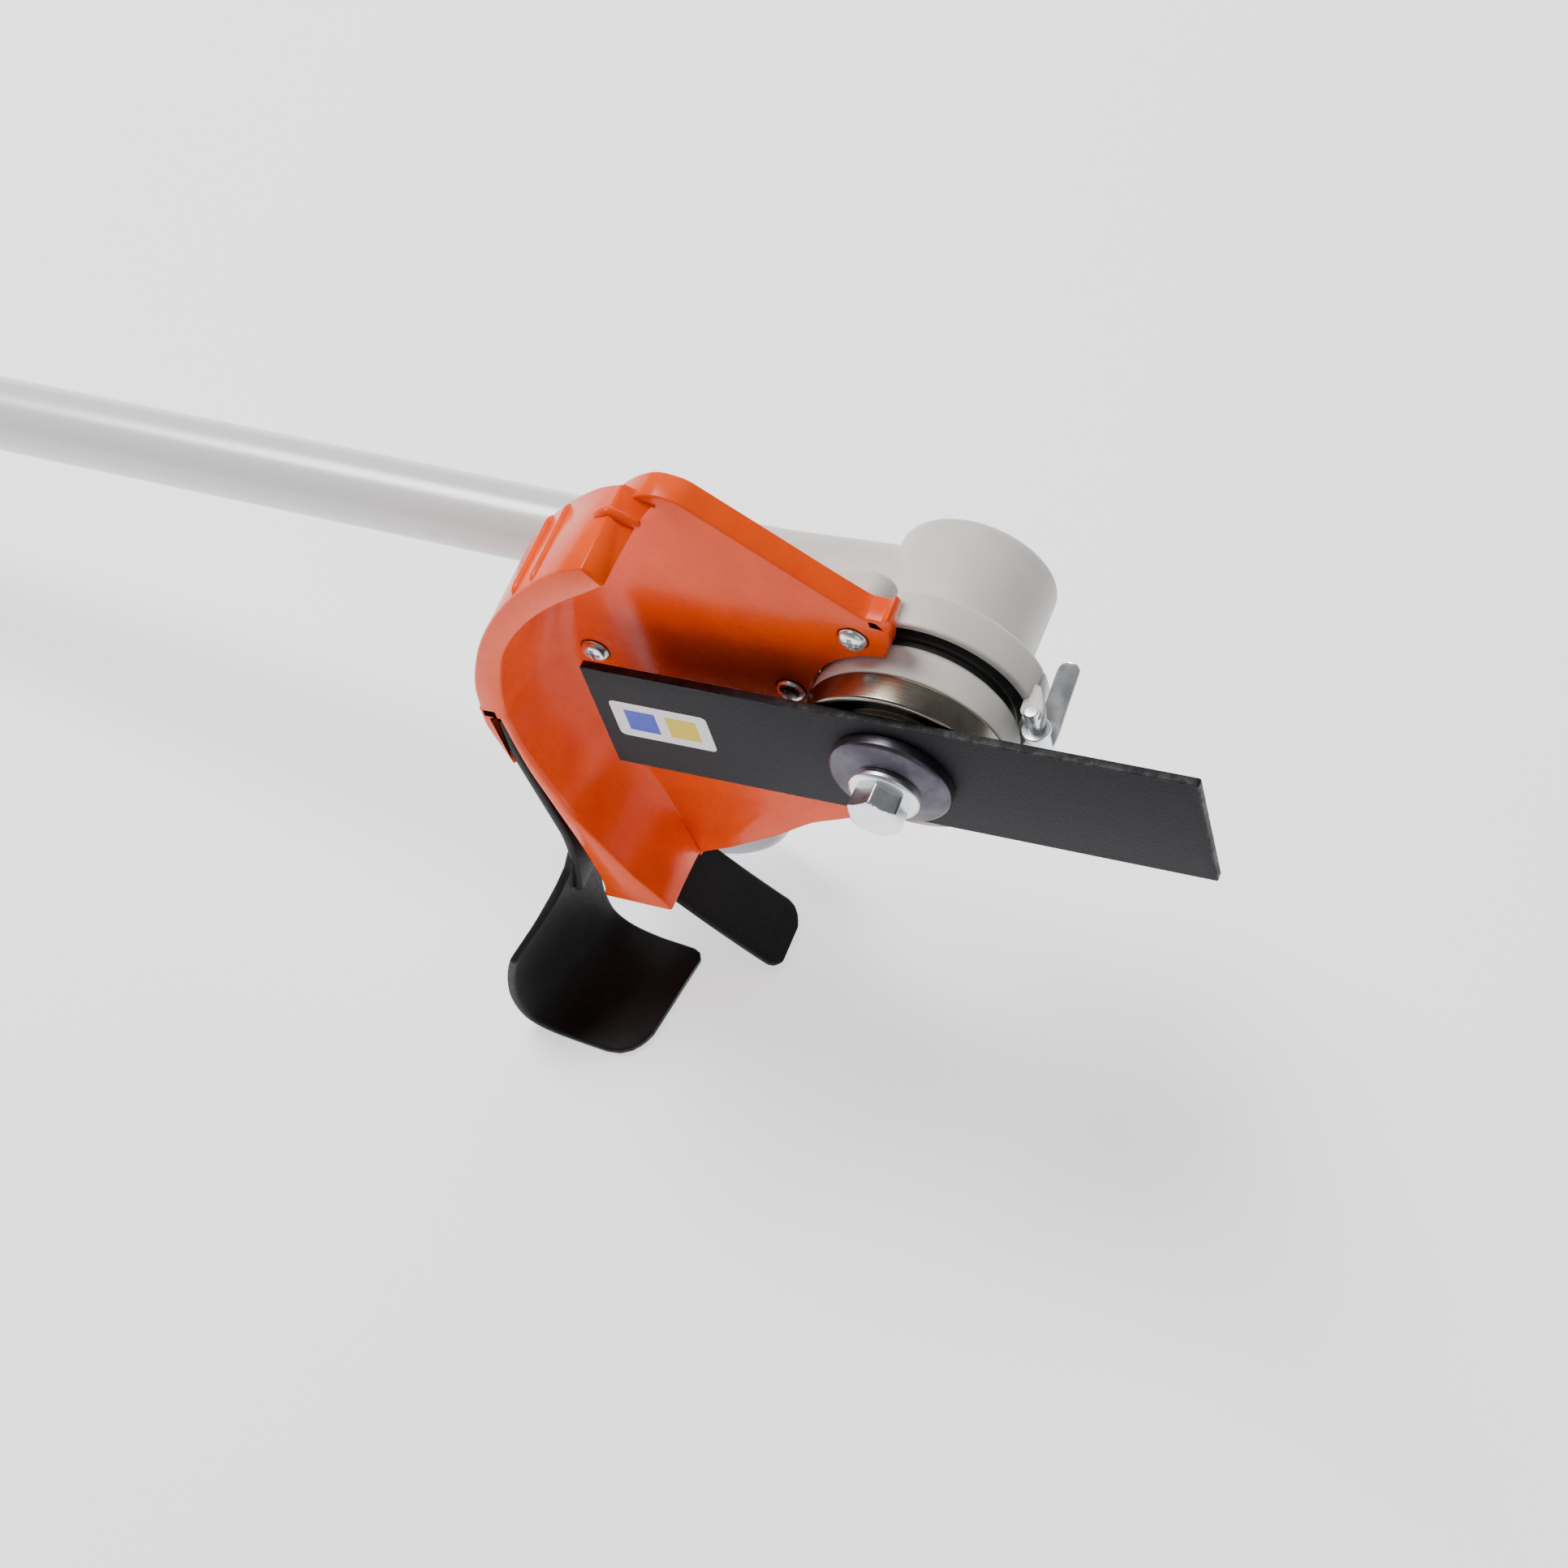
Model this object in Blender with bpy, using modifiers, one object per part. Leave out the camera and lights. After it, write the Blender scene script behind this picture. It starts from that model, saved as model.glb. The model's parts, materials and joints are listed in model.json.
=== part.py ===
"""Edger-type attachment of a brush cutter: a blade head on a straight drive tube, lying on the floor.

The tool frame has x along the blade, y across it and z along the blade's axis, out of the bolt's side.
It is pitched so that the tube slopes down to the floor. Lengths are in millimetres up to the last step,
where each point is scaled to metres.
"""

import math

import bmesh
import bpy
from mathutils import Matrix, Vector

MM = 0.001
GAP = 0.3  # clearance between pieces that touch

# Stance
AXIS_HEIGHT = 172.0  # blade axis above the floor
PITCH = math.radians(13.2)  # blade's long axis above the horizontal
TUBE_RISE = math.radians(2.9)  # tube against the blade's long axis

# Blade and its fixings
BLADE_LENGTH = 203.2
BLADE_WIDTH = 50.8
BLADE_THICKNESS = 3.0
PILOT_RADIUS = 9.7
BOLT_RADIUS = 4.9
BOLT_HEX = 16.0  # across flats
BOLT_FLANGE_RADIUS = 11.7
BOLT_FLANGE_THICKNESS = 2.5
BOLT_HEAD_HEIGHT = 8.1
CUP_RADIUS = 20.2
CUP_TOP_RADIUS = 10.7
CUP_HEIGHT = 7.1
CUP_EDGE = 3.0

# Output end of the gear head, by depth behind the blade's front face
FLANGE_RADIUS = 33.65
FLANGE_FRONT = -3.3
FLANGE_BACK = -13.2
COLLAR_RADIUS = 33.3
COLLAR_BACK = -24.0
GROOVE_RADIUS = 28.0
CASE_FRONT = -30.2
SPIGOT_RADIUS = 23.6
SPIGOT_BACK = -44.5
SPINDLE_RADIUS = 7.5
SPINDLE_END_RADIUS = 5.0
BEARING_RADIUS = 17.5
BEARING_FRONT = -31.0
BEARING_WIDTH = 10.4
JOURNAL_RADIUS = 29.7
RING_FRONT = -30.2
RING_BACK = -43.2
RING_RADIUS = 36.5
RELIEF_DEPTH = 6.8  # recess in the ring's front, around the collar
CASE_RADIUS = 26.4
CASE_REACH = 18.8  # behind the gears' apex
CASE_WALL = 3.0

# Bevel gears: their apex is where the tube's axis meets the blade's axis
GEAR_MODULE = 1.7
RING_TEETH = 20
PINION_TEETH = 15
FACE_WIDTH = 6.5
TOOTH_ADDENDUM = 0.8
TOOTH_DEDENDUM = 1.15
TOOTH_TIP = 0.20  # share of the tooth pitch at the tip
TOOTH_ROOT = 0.50

# Input side, by distance along the tube's axis from the blade's axis
NECK_END = 85.0
NECK_WALL = 2.5
NECK_TAPER = 3.7  # growth of the radius to the root
INPUT_BEARING_WIDTH = 8.0
INPUT_SHAFT_RADIUS = 6.0
TUBE_RADIUS = 12.7
TUBE_WALL = 1.5
TUBE_START = 46.0
DRIVE_SHAFT_RADIUS = 4.0
DRIVE_SHAFT_END_RADIUS = 2.9
COUPLER_RADIUS = 7.0
COUPLER_LENGTH = 22.0
BUSH_LENGTH = 30.0
BUSH_COUNT = 3

# Guard
PLATE_FRONT = -18.0
PLATE_THICKNESS = 3.0
RIM_BACK = -27.5
RIM_WALL = 3.0
SKIRT_FRONT = 12.0
GUARD_BORE = 34.4
SCREW_HEAD_RADIUS = 4.6
SCREW_RADIUS = 2.4
STATIONS = 26
RING_SCREWS = ((-11.4, 42.1), (-39.7, 7.9))
ARM_SCREWS = ((-108.1, 9.2), (-97.0, -46.0))

# Wheel and its bracket
ARM_FRONT = -34.0
ARM_THICKNESS = 3.0
WHEEL_RADIUS = 45.0
WHEEL_FRONT = -40.0
WHEEL_WIDTH = 20.0
WHEEL_ACROSS = -120.8
AXLE_RADIUS = 4.0

# Rubber flap
FLAP_THICKNESS = 3.0
FLAP_SLIT = -4.5
FLAP_SLIT_WIDTH = 2.0
FLAP_FRONT = 44.0
FLAP_BACK = -33.0

# Clamp lever
LEVER_ACROSS = 38.3
LEVER_DEPTH = -25.0
EAR_LOW = 1.3
EAR_THICKNESS = 4.0
EAR_SLIT = 1.5
LEVER_SHANK = 2.4

# Places that follow from the sizes above, and small sizes inside the gear head
BLADE_AXIS_X = 387.8  # blade's axis from the middle of the object's box
BLADE_AXIS_Y = -19.9
PLATE_BACK = PLATE_FRONT - PLATE_THICKNESS
SKIRT_BACK = PLATE_BACK - 0.8
PILOT_FRONT = -0.8
SEAT_RADIUS = 25.0
COLLAR_FRONT = FLANGE_BACK - GAP
SEAL_RADIUS = 14.0
SEAL_BACK = COLLAR_FRONT - 8
BOLT_END = -24.0
END_BEARING_RADIUS = 9.0
END_BOSS_RADIUS = 11.3
HOUSING_SCREW_CIRCLE = 26.0
HOUSING_SCREW_RADIUS = 1.4
HOUSING_HEAD_RADIUS = 2.9
HOUSING_SEAT = COLLAR_FRONT - 3.8
HOUSING_SCREW_END = -41.0
GEAR_BACK = 16.2  # from the gears' apex
PINION_BACK = 20.5
PINION_START = 12.6
PINION_BORE = 5.6
PINION_SHAFT_END = 60.0
SHAFT_SOCKET = 46.0
NECK_RADIUS = TUBE_RADIUS + NECK_WALL
NECK_ROOT_RADIUS = NECK_RADIUS + NECK_TAPER
APEX_DEPTH = RING_BACK - GAP - NECK_ROOT_RADIUS  # the neck just clears the clamp ring
CASE_BACK = APEX_DEPTH - CASE_REACH
CHAMBER_BACK = CASE_BACK + CASE_WALL
SPINDLE_STEP = APEX_DEPTH + 4.9
END_BEARING_FRONT = CHAMBER_BACK + 4.8
INPUT_BEARING_RADIUS = TUBE_RADIUS  # the bearings go in through the tube's bore
NECK_START = 5.0
CLAMP_START = 64.0
CLAMP_ALONG = 76.0
CLAMP_DROP = TUBE_RADIUS + 5.8
CLAMP_SLIT = 1.5
EAR_HALF = 8.0
LOCATOR_ALONG = 54.0
PLUG_ACROSS = 16.5
PLUG_UP = -6.0
PLUG_RADIUS = 3.2
SLOT_WIDTH = 1.3
TUBE_END = 892.48
WHEEL_BACK = WHEEL_FRONT - WHEEL_WIDTH
LATCH_FROM_END = 40.0
LATCH_RADIUS = 3.5
COUPLER_INSET = 18.0
SOCKET_RADIUS = 4.2

ROUND = 32  # facets of an ordinary round piece
FINE = 40
SMALL = 16


# ---------------------------------------------------------------- materials


def material(name, colour, roughness, metallic):
    """A Principled material of one colour."""
    made = bpy.data.materials.get(name)
    if made is None:
        made = bpy.data.materials.new(name)
        made.use_nodes = True
        shader = made.node_tree.nodes["Principled BSDF"]
        shader.inputs["Base Color"].default_value = (*colour, 1.0)
        shader.inputs["Roughness"].default_value = roughness
        shader.inputs["Metallic"].default_value = metallic
        made.diffuse_color = (*colour, 1.0)
    return made


def finish(name):
    """One of the object's finishes, by name."""
    table = {
        "orange_paint": ((0.90, 0.12, 0.01), 0.25, 0.0),
        "black_blade": ((0.035, 0.035, 0.04), 0.55, 0.3),
        "cast_paint": ((0.66, 0.64, 0.58), 0.45, 0.0),
        "bright_zinc": ((0.72, 0.76, 0.80), 0.28, 1.0),
        "turned_steel": ((0.42, 0.38, 0.31), 0.25, 1.0),
        "dark_steel": ((0.10, 0.095, 0.11), 0.30, 0.9),
        "gear_steel": ((0.40, 0.40, 0.42), 0.35, 1.0),
        "white_tube": ((0.85, 0.86, 0.86), 0.35, 0.1),
        "black_rubber": ((0.012, 0.012, 0.013), 0.6, 0.0),
        "black_nylon": ((0.03, 0.03, 0.03), 0.5, 0.0),
        "pale_nylon": ((0.66, 0.65, 0.62), 0.5, 0.0),
    }
    return material(name, *table[name])


# ---------------------------------------------------------------- scene and frames


def clear_scene():
    for old in list(bpy.data.objects):
        bpy.data.objects.remove(old, do_unlink=True)
    for old in list(bpy.data.collections):
        bpy.data.collections.remove(old)


def new_collection(name):
    made = bpy.data.collections.new(name)
    bpy.context.scene.collection.children.link(made)
    return made


def new_empty(name, parent=None, place=(0, 0, 0), axes=None):
    """An empty at a place in its parent's frame. The axes are the columns of its turn."""
    made = bpy.data.objects.new(name, None)
    PARTS.objects.link(made)
    made.parent = parent
    made.location = Vector(place) * MM
    if axes is not None:
        made.rotation_euler = Matrix(axes).transposed().to_euler()
    made.empty_display_size = 0.02
    return made


def add_object(name, mesh, parent, look, place=(0, 0, 0), helper=False):
    """Puts a mesh in the scene as a part, or as a helper that only cuts or joins."""
    made = bpy.data.objects.new(name, mesh)
    (HELPERS if helper else PARTS).objects.link(made)
    made.parent = parent
    made.location = Vector(place) * MM
    if helper:
        made.hide_render = True
        made.display_type = "WIRE"
    else:
        mesh.materials.append(finish(look))
        mesh.shade_smooth()
        mesh.set_sharp_from_angle(angle=math.radians(32))
    return made


# ---------------------------------------------------------------- shapes


def turned(name, profile, parent, look, steps=ROUND, place=(0, 0, 0), helper=False):
    """A turned piece about the parent's z axis. The profile holds (radius, depth) and runs down
    its outer side. One that leaves the axis is open; any other closes on itself."""
    mesh = bpy.data.meshes.new(name)
    points = [(r * MM, 0, z * MM) for r, z in profile]
    edges = [(i, i + 1) for i in range(len(points) - 1)]
    if profile[0][0] > 0:
        edges.append((len(points) - 1, 0))
    mesh.from_pydata(points, edges, [])
    made = add_object(name, mesh, parent, look, place, helper)
    screw = made.modifiers.new("turn", "SCREW")
    screw.steps = screw.render_steps = steps
    screw.use_merge_vertices = True
    screw.merge_threshold = 0.00001
    screw.use_smooth_shade = True
    return made


def ring(name, outer, inner, top, bottom, parent, look, steps=ROUND, place=(0, 0, 0), helper=False):
    """A plain turned ring with a small chamfer on its outer edges."""
    c = min(0.4, (outer - inner) / 4, (top - bottom) / 4)
    profile = [(inner, top), (outer - c, top), (outer, top - c), (outer, bottom + c),
               (outer - c, bottom), (inner, bottom)]
    return turned(name, profile, parent, look, steps, place, helper)


def rod(name, radius, top, bottom, parent, look, steps=SMALL, place=(0, 0, 0), helper=False):
    profile = [(0, top), (radius, top), (radius, bottom), (0, bottom)]
    return turned(name, profile, parent, look, steps, place, helper)


def mesh_from_bmesh(name, shape):
    bmesh.ops.recalc_face_normals(shape, faces=shape.faces)
    mesh = bpy.data.meshes.new(name)
    shape.to_mesh(mesh)
    shape.free()
    return mesh


def outline_solid(name, outline, low, high, parent, look=None, holes=(), place=(0, 0, 0),
                  helper=False):
    """A flat outline with round holes, filled and extruded from low to high."""
    curve = bpy.data.curves.new(name, "CURVE")
    curve.dimensions = "2D"
    curve.fill_mode = "BOTH"
    curve.extrude = (high - low) / 2 * MM
    loops = [outline] + [circle(radius, steps, centre) for centre, radius, steps in holes]
    for loop in loops:
        spline = curve.splines.new("POLY")
        spline.points.add(len(loop) - 1)
        for point, (x, y) in zip(spline.points, loop):
            point.co = (x * MM, y * MM, 0, 1)
        spline.use_cyclic_u = True
    drawn = bpy.data.objects.new(name + "_outline", curve)
    bpy.context.scene.collection.objects.link(drawn)
    graph = bpy.context.evaluated_depsgraph_get()
    mesh = bpy.data.meshes.new_from_object(drawn.evaluated_get(graph))
    bpy.data.objects.remove(drawn)
    shape = bmesh.new()
    shape.from_mesh(mesh)
    bpy.data.meshes.remove(mesh)
    bmesh.ops.remove_doubles(shape, verts=shape.verts, dist=0.00001)
    bmesh.ops.translate(shape, verts=shape.verts, vec=(0, 0, (low + high) / 2 * MM))
    return add_object(name, mesh_from_bmesh(name, shape), parent, look, place, helper)


def swept(name, sections, parent, look=None, helper=False):
    """A solid through a row of closed sections that all have as many points, with flat ends."""
    shape = bmesh.new()
    rows = [[shape.verts.new(Vector(point) * MM) for point in section] for section in sections]
    count = len(rows[0])
    for row, following in zip(rows, rows[1:]):
        for i in range(count):
            j = (i + 1) % count
            shape.faces.new((row[i], row[j], following[j], following[i]))
    shape.faces.new(rows[0])
    shape.faces.new(rows[-1])
    bmesh.ops.triangulate(shape, faces=shape.faces)
    return add_object(name, mesh_from_bmesh(name, shape), parent, look, helper=helper)


def block(name, low, high, parent, look=None, helper=False):
    """A box between two corners."""
    shape = bmesh.new()
    bmesh.ops.create_cube(shape, size=1)
    size = [b - a for a, b in zip(low, high)]
    middle = [(a + b) / 2 for a, b in zip(low, high)]
    bmesh.ops.scale(shape, verts=shape.verts, vec=Vector(size) * MM)
    bmesh.ops.translate(shape, verts=shape.verts, vec=Vector(middle) * MM)
    return add_object(name, mesh_from_bmesh(name, shape), parent, look, helper=helper)


def combine(piece, operation, other):
    step = piece.modifiers.new(f"{operation.lower()} {other.name}", "BOOLEAN")
    step.operation = operation
    step.object = other
    step.solver = "EXACT"


def cut(piece, other):
    combine(piece, "DIFFERENCE", other)


def join(piece, other):
    combine(piece, "UNION", other)


# ---------------------------------------------------------------- outlines


def circle(radius, steps, centre=(0, 0), start=0.0, sweep=2 * math.pi):
    """Points round an arc. A full circle doesn't repeat its first point."""
    full = abs(sweep) >= 2 * math.pi - 1e-6
    last = steps if full else steps - 1
    return [(centre[0] + radius * math.cos(start + sweep * i / last),
             centre[1] + radius * math.sin(start + sweep * i / last)) for i in range(steps)]


def hull_of_circles(circles, steps=SMALL):
    """The outline of a plate that wraps round several discs, each (x, y, radius)."""
    points = [p for x, y, r in circles for p in circle(r, steps, (x, y))]
    points = sorted(set((round(x, 5), round(y, 5)) for x, y in points))

    def half(row):
        chain = []
        for x, y in row:
            while len(chain) > 1:
                (ax, ay), (bx, by) = chain[-2:]
                if (bx - ax) * (y - ay) - (by - ay) * (x - ax) > 1e-9:
                    break
                chain.pop()
            chain.append((x, y))
        return chain[:-1]

    return half(points) + half(points[::-1])


def smooth(points, count):
    """Evenly spaced points on a Catmull-Rom curve through the given points."""
    ends = [[2 * a - b for a, b in zip(points[0], points[1])],
            [2 * a - b for a, b in zip(points[-1], points[-2])]]
    row = [ends[0], *points, ends[1]]
    fine = []
    for a, b, c, d in zip(row, row[1:], row[2:], row[3:]):
        for k in range(12):
            t = k / 12
            fine.append([0.5 * (2 * q + (r - p) * t + (2 * p - 5 * q + 4 * r - s) * t * t
                                + (3 * q - p - 3 * r + s) * t ** 3)
                         for p, q, r, s in zip(a, b, c, d)])
    fine.append(list(points[-1]))
    lengths = [0.0]
    for a, b in zip(fine, fine[1:]):
        lengths.append(lengths[-1] + math.dist(a, b))
    found, k = [], 0
    for i in range(count):
        want = lengths[-1] * i / (count - 1)
        while k < len(lengths) - 2 and lengths[k + 1] < want:
            k += 1
        t = (want - lengths[k]) / (lengths[k + 1] - lengths[k])
        found.append([a + (b - a) * t for a, b in zip(fine[k], fine[k + 1])])
    return found


def inset(outline, distance):
    """A closed outline moved inwards; it runs counter-clockwise."""
    moved = []
    for before, here, after in zip(outline[-1:] + outline[:-1], outline, outline[1:] + outline[:1]):
        ax, ay = here[0] - before[0], here[1] - before[1]
        bx, by = after[0] - here[0], after[1] - here[1]
        la, lb = math.hypot(ax, ay), math.hypot(bx, by)
        nx, ny = -ay / la - by / lb, ax / la + bx / lb
        scale = distance / max(0.35, (nx * nx + ny * ny) / 2)
        moved.append((here[0] + nx * scale, here[1] + ny * scale))
    return moved


# ---------------------------------------------------------------- gear head


def build_case(tool, tube):
    """The gear case with its neck, bored for the gears, the tube and the screws."""
    case = turned("gear_case", [
        (0, CASE_FRONT), (JOURNAL_RADIUS - 0.4, CASE_FRONT), (JOURNAL_RADIUS, CASE_FRONT - 0.4),
        (JOURNAL_RADIUS, RING_BACK - GAP), (JOURNAL_RADIUS + 2, RING_BACK - GAP),
        (JOURNAL_RADIUS + 2, RING_BACK - 3), (CASE_RADIUS, RING_BACK - 5),
        (CASE_RADIUS, CASE_BACK + 3), (CASE_RADIUS - 0.9, CASE_BACK + 0.9), (CASE_RADIUS - 3, CASE_BACK),
        (0, CASE_BACK)], tool, "cast_paint", FINE)
    neck = turned("neck", [
        (0, NECK_START), (NECK_ROOT_RADIUS, NECK_START), (NECK_RADIUS, CLAMP_START),
        (NECK_RADIUS, NECK_END - 0.6), (NECK_RADIUS - 0.6, NECK_END), (0, NECK_END)],
        tube, None, FINE, helper=True)
    ears = block("clamp_ears", (TUBE_RADIUS, -EAR_HALF, CLAMP_START + 2),
                 (CLAMP_DROP + 5.5, EAR_HALF, NECK_END - 1), tube, helper=True)
    chamber = turned("chamber", [
        (0, CASE_FRONT + 1), (SPIGOT_RADIUS, CASE_FRONT + 1), (SPIGOT_RADIUS, CHAMBER_BACK + 2),
        (SPIGOT_RADIUS - 2, CHAMBER_BACK), (END_BOSS_RADIUS, CHAMBER_BACK),
        (END_BOSS_RADIUS, END_BEARING_FRONT), (END_BEARING_RADIUS + GAP, END_BEARING_FRONT),
        (END_BEARING_RADIUS + GAP, CHAMBER_BACK), (0, CHAMBER_BACK)], tool, None, FINE, helper=True)
    bore = rod("neck_bore", TUBE_RADIUS + GAP, NECK_END + 5, PINION_START, tube, None, FINE, helper=True)
    slit = block("clamp_slit", (0, -CLAMP_SLIT / 2, LOCATOR_ALONG + 6),
                 (CLAMP_DROP + 8, CLAMP_SLIT / 2, NECK_END + 5), tube, helper=True)
    join(case, neck)
    join(case, ears)
    for cutter in (chamber, bore, slit):
        cut(case, cutter)
    for i, (x, y) in enumerate(housing_screw_places()):
        cut(case, rod(f"case_tapping_{i}", HOUSING_SCREW_RADIUS + GAP, CASE_FRONT + 1,
                      HOUSING_SCREW_END - 1, tool, None, place=(x, y, 0), helper=True))
    across = new_empty("clamp_screw_axis", tube, (CLAMP_DROP, 0, CLAMP_ALONG),
                       ((1, 0, 0), (0, 0, -1), (0, 1, 0)))
    cut(case, rod("clamp_hole", SCREW_RADIUS + GAP, EAR_HALF + 2, -EAR_HALF - 2, across, None,
                  helper=True))
    below = new_empty("locator_axis", tube, (0, 0, LOCATOR_ALONG), ((0, 1, 0), (0, 0, 1), (1, 0, 0)))
    cut(case, rod("locator_hole", SCREW_RADIUS + GAP, NECK_ROOT_RADIUS + 5, TUBE_RADIUS - 2, below,
                  None, helper=True))
    plug_place = (PLUG_ACROSS, PLUG_UP, 0)
    boss = rod("plug_boss", PLUG_RADIUS + 2.5, CHAMBER_BACK + 3, CHAMBER_BACK - 0.5, tool, None,
               place=plug_place, helper=True)
    join(case, boss)
    cut(case, rod("plug_hole", PLUG_RADIUS + GAP, CHAMBER_BACK + 4, CASE_BACK - 1, tool, None,
                  place=plug_place, helper=True))
    turned("grease_plug", [
        (0, CHAMBER_BACK + 3), (PLUG_RADIUS, CHAMBER_BACK + 3), (PLUG_RADIUS, CASE_BACK - GAP),
        (PLUG_RADIUS + 2, CASE_BACK - GAP), (PLUG_RADIUS + 2, CASE_BACK - 2),
        (PLUG_RADIUS + 1.4, CASE_BACK - 2.6),
        (0, CASE_BACK - 2.6)], tool, "bright_zinc", SMALL, place=plug_place)
    screw("clamp_screw", across, EAR_HALF + GAP, -EAR_HALF - 1.5)
    turned("locating_screw", [
        (0, NECK_ROOT_RADIUS + 1.5), (SCREW_RADIUS + 1.2, NECK_ROOT_RADIUS + 1.5),
        (SCREW_RADIUS + 1.2, NECK_ROOT_RADIUS - 1.2), (SCREW_RADIUS, NECK_ROOT_RADIUS - 1.2),
        (SCREW_RADIUS, TUBE_RADIUS - TUBE_WALL + GAP), (0, TUBE_RADIUS - TUBE_WALL + GAP)],
        below, "bright_zinc", SMALL)


def housing_screw_places():
    return [(HOUSING_SCREW_CIRCLE * math.cos(a), HOUSING_SCREW_CIRCLE * math.sin(a))
            for a in (math.pi * (0.5 + 2 * i / 3) for i in range(3))]


def screw(name, parent, seat, end, place=(0, 0, 0), radius=SCREW_RADIUS, head=SCREW_HEAD_RADIUS):
    """A pan-head screw whose head sits on the seat height and whose shank runs down to the end."""
    height = head * 0.55
    slot = head * 0.5
    made = turned(name, [
        (0, seat + height), (head * 0.55, seat + height), (head * 0.9, seat + height * 0.6),
        (head, seat + height * 0.2), (head, seat), (radius, seat), (radius, end), (0, end)],
        parent, "bright_zinc", SMALL, place)
    x, y = place[0], place[1]
    for i, (w, d) in enumerate(((slot, SLOT_WIDTH / 2), (SLOT_WIDTH / 2, slot))):
        cut(made, block(f"{name}_slot_{i}", (x - w, y - d, seat + height * 0.35),
                        (x + w, y + d, seat + height + 1), parent, helper=True))
    return made


def build_housing(tool):
    """The bearing housing with its collar, its screws, the seal and the bearings."""
    housing = turned("bearing_housing", [
        (SEAL_RADIUS + GAP, COLLAR_FRONT), (COLLAR_RADIUS - 0.4, COLLAR_FRONT),
        (COLLAR_RADIUS, COLLAR_FRONT - 0.4), (COLLAR_RADIUS, COLLAR_BACK),
        (GROOVE_RADIUS, COLLAR_BACK - 4), (GROOVE_RADIUS, CASE_FRONT + GAP),
        (SPIGOT_RADIUS - GAP, CASE_FRONT + GAP), (SPIGOT_RADIUS - GAP, SPIGOT_BACK),
        (BEARING_RADIUS + GAP, SPIGOT_BACK), (BEARING_RADIUS + GAP, BEARING_FRONT + GAP),
        (SPINDLE_RADIUS + 2, BEARING_FRONT + GAP), (SPINDLE_RADIUS + 2, SEAL_BACK - GAP),
        (SEAL_RADIUS + GAP, SEAL_BACK - GAP)], tool, "cast_paint", FINE)
    for i, (x, y) in enumerate(housing_screw_places()):
        cut(housing, rod(f"housing_hole_{i}", HOUSING_SCREW_RADIUS + GAP, COLLAR_FRONT + 1,
                         CASE_FRONT - 1, tool, None, place=(x, y, 0), helper=True))
        cut(housing, rod(f"housing_sink_{i}", HOUSING_HEAD_RADIUS + GAP, COLLAR_FRONT + 1,
                         HOUSING_SEAT, tool, None, place=(x, y, 0), helper=True))
        turned(f"housing_screw_{i + 1}", [
            (0, HOUSING_SEAT + 3.3), (HOUSING_HEAD_RADIUS, HOUSING_SEAT + 3.3),
            (HOUSING_HEAD_RADIUS, HOUSING_SEAT + GAP), (HOUSING_SCREW_RADIUS, HOUSING_SEAT + GAP),
            (HOUSING_SCREW_RADIUS, HOUSING_SCREW_END), (0, HOUSING_SCREW_END)],
            tool, "dark_steel", SMALL, place=(x, y, 0))
    ring("oil_seal", SEAL_RADIUS, SPINDLE_RADIUS + GAP, COLLAR_FRONT - GAP, SEAL_BACK, tool,
         "black_rubber")
    ring("output_bearing", BEARING_RADIUS, SPINDLE_RADIUS + GAP, BEARING_FRONT,
         BEARING_FRONT - BEARING_WIDTH, tool, "gear_steel")
    ring("bearing_circlip", BEARING_RADIUS, BEARING_RADIUS - 3, BEARING_FRONT - BEARING_WIDTH - GAP,
         BEARING_FRONT - BEARING_WIDTH - 1.5, tool, "dark_steel")
    ring("end_bearing", END_BEARING_RADIUS, SPINDLE_END_RADIUS + GAP, END_BEARING_FRONT - GAP,
         CHAMBER_BACK + GAP, tool, "gear_steel")


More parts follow.
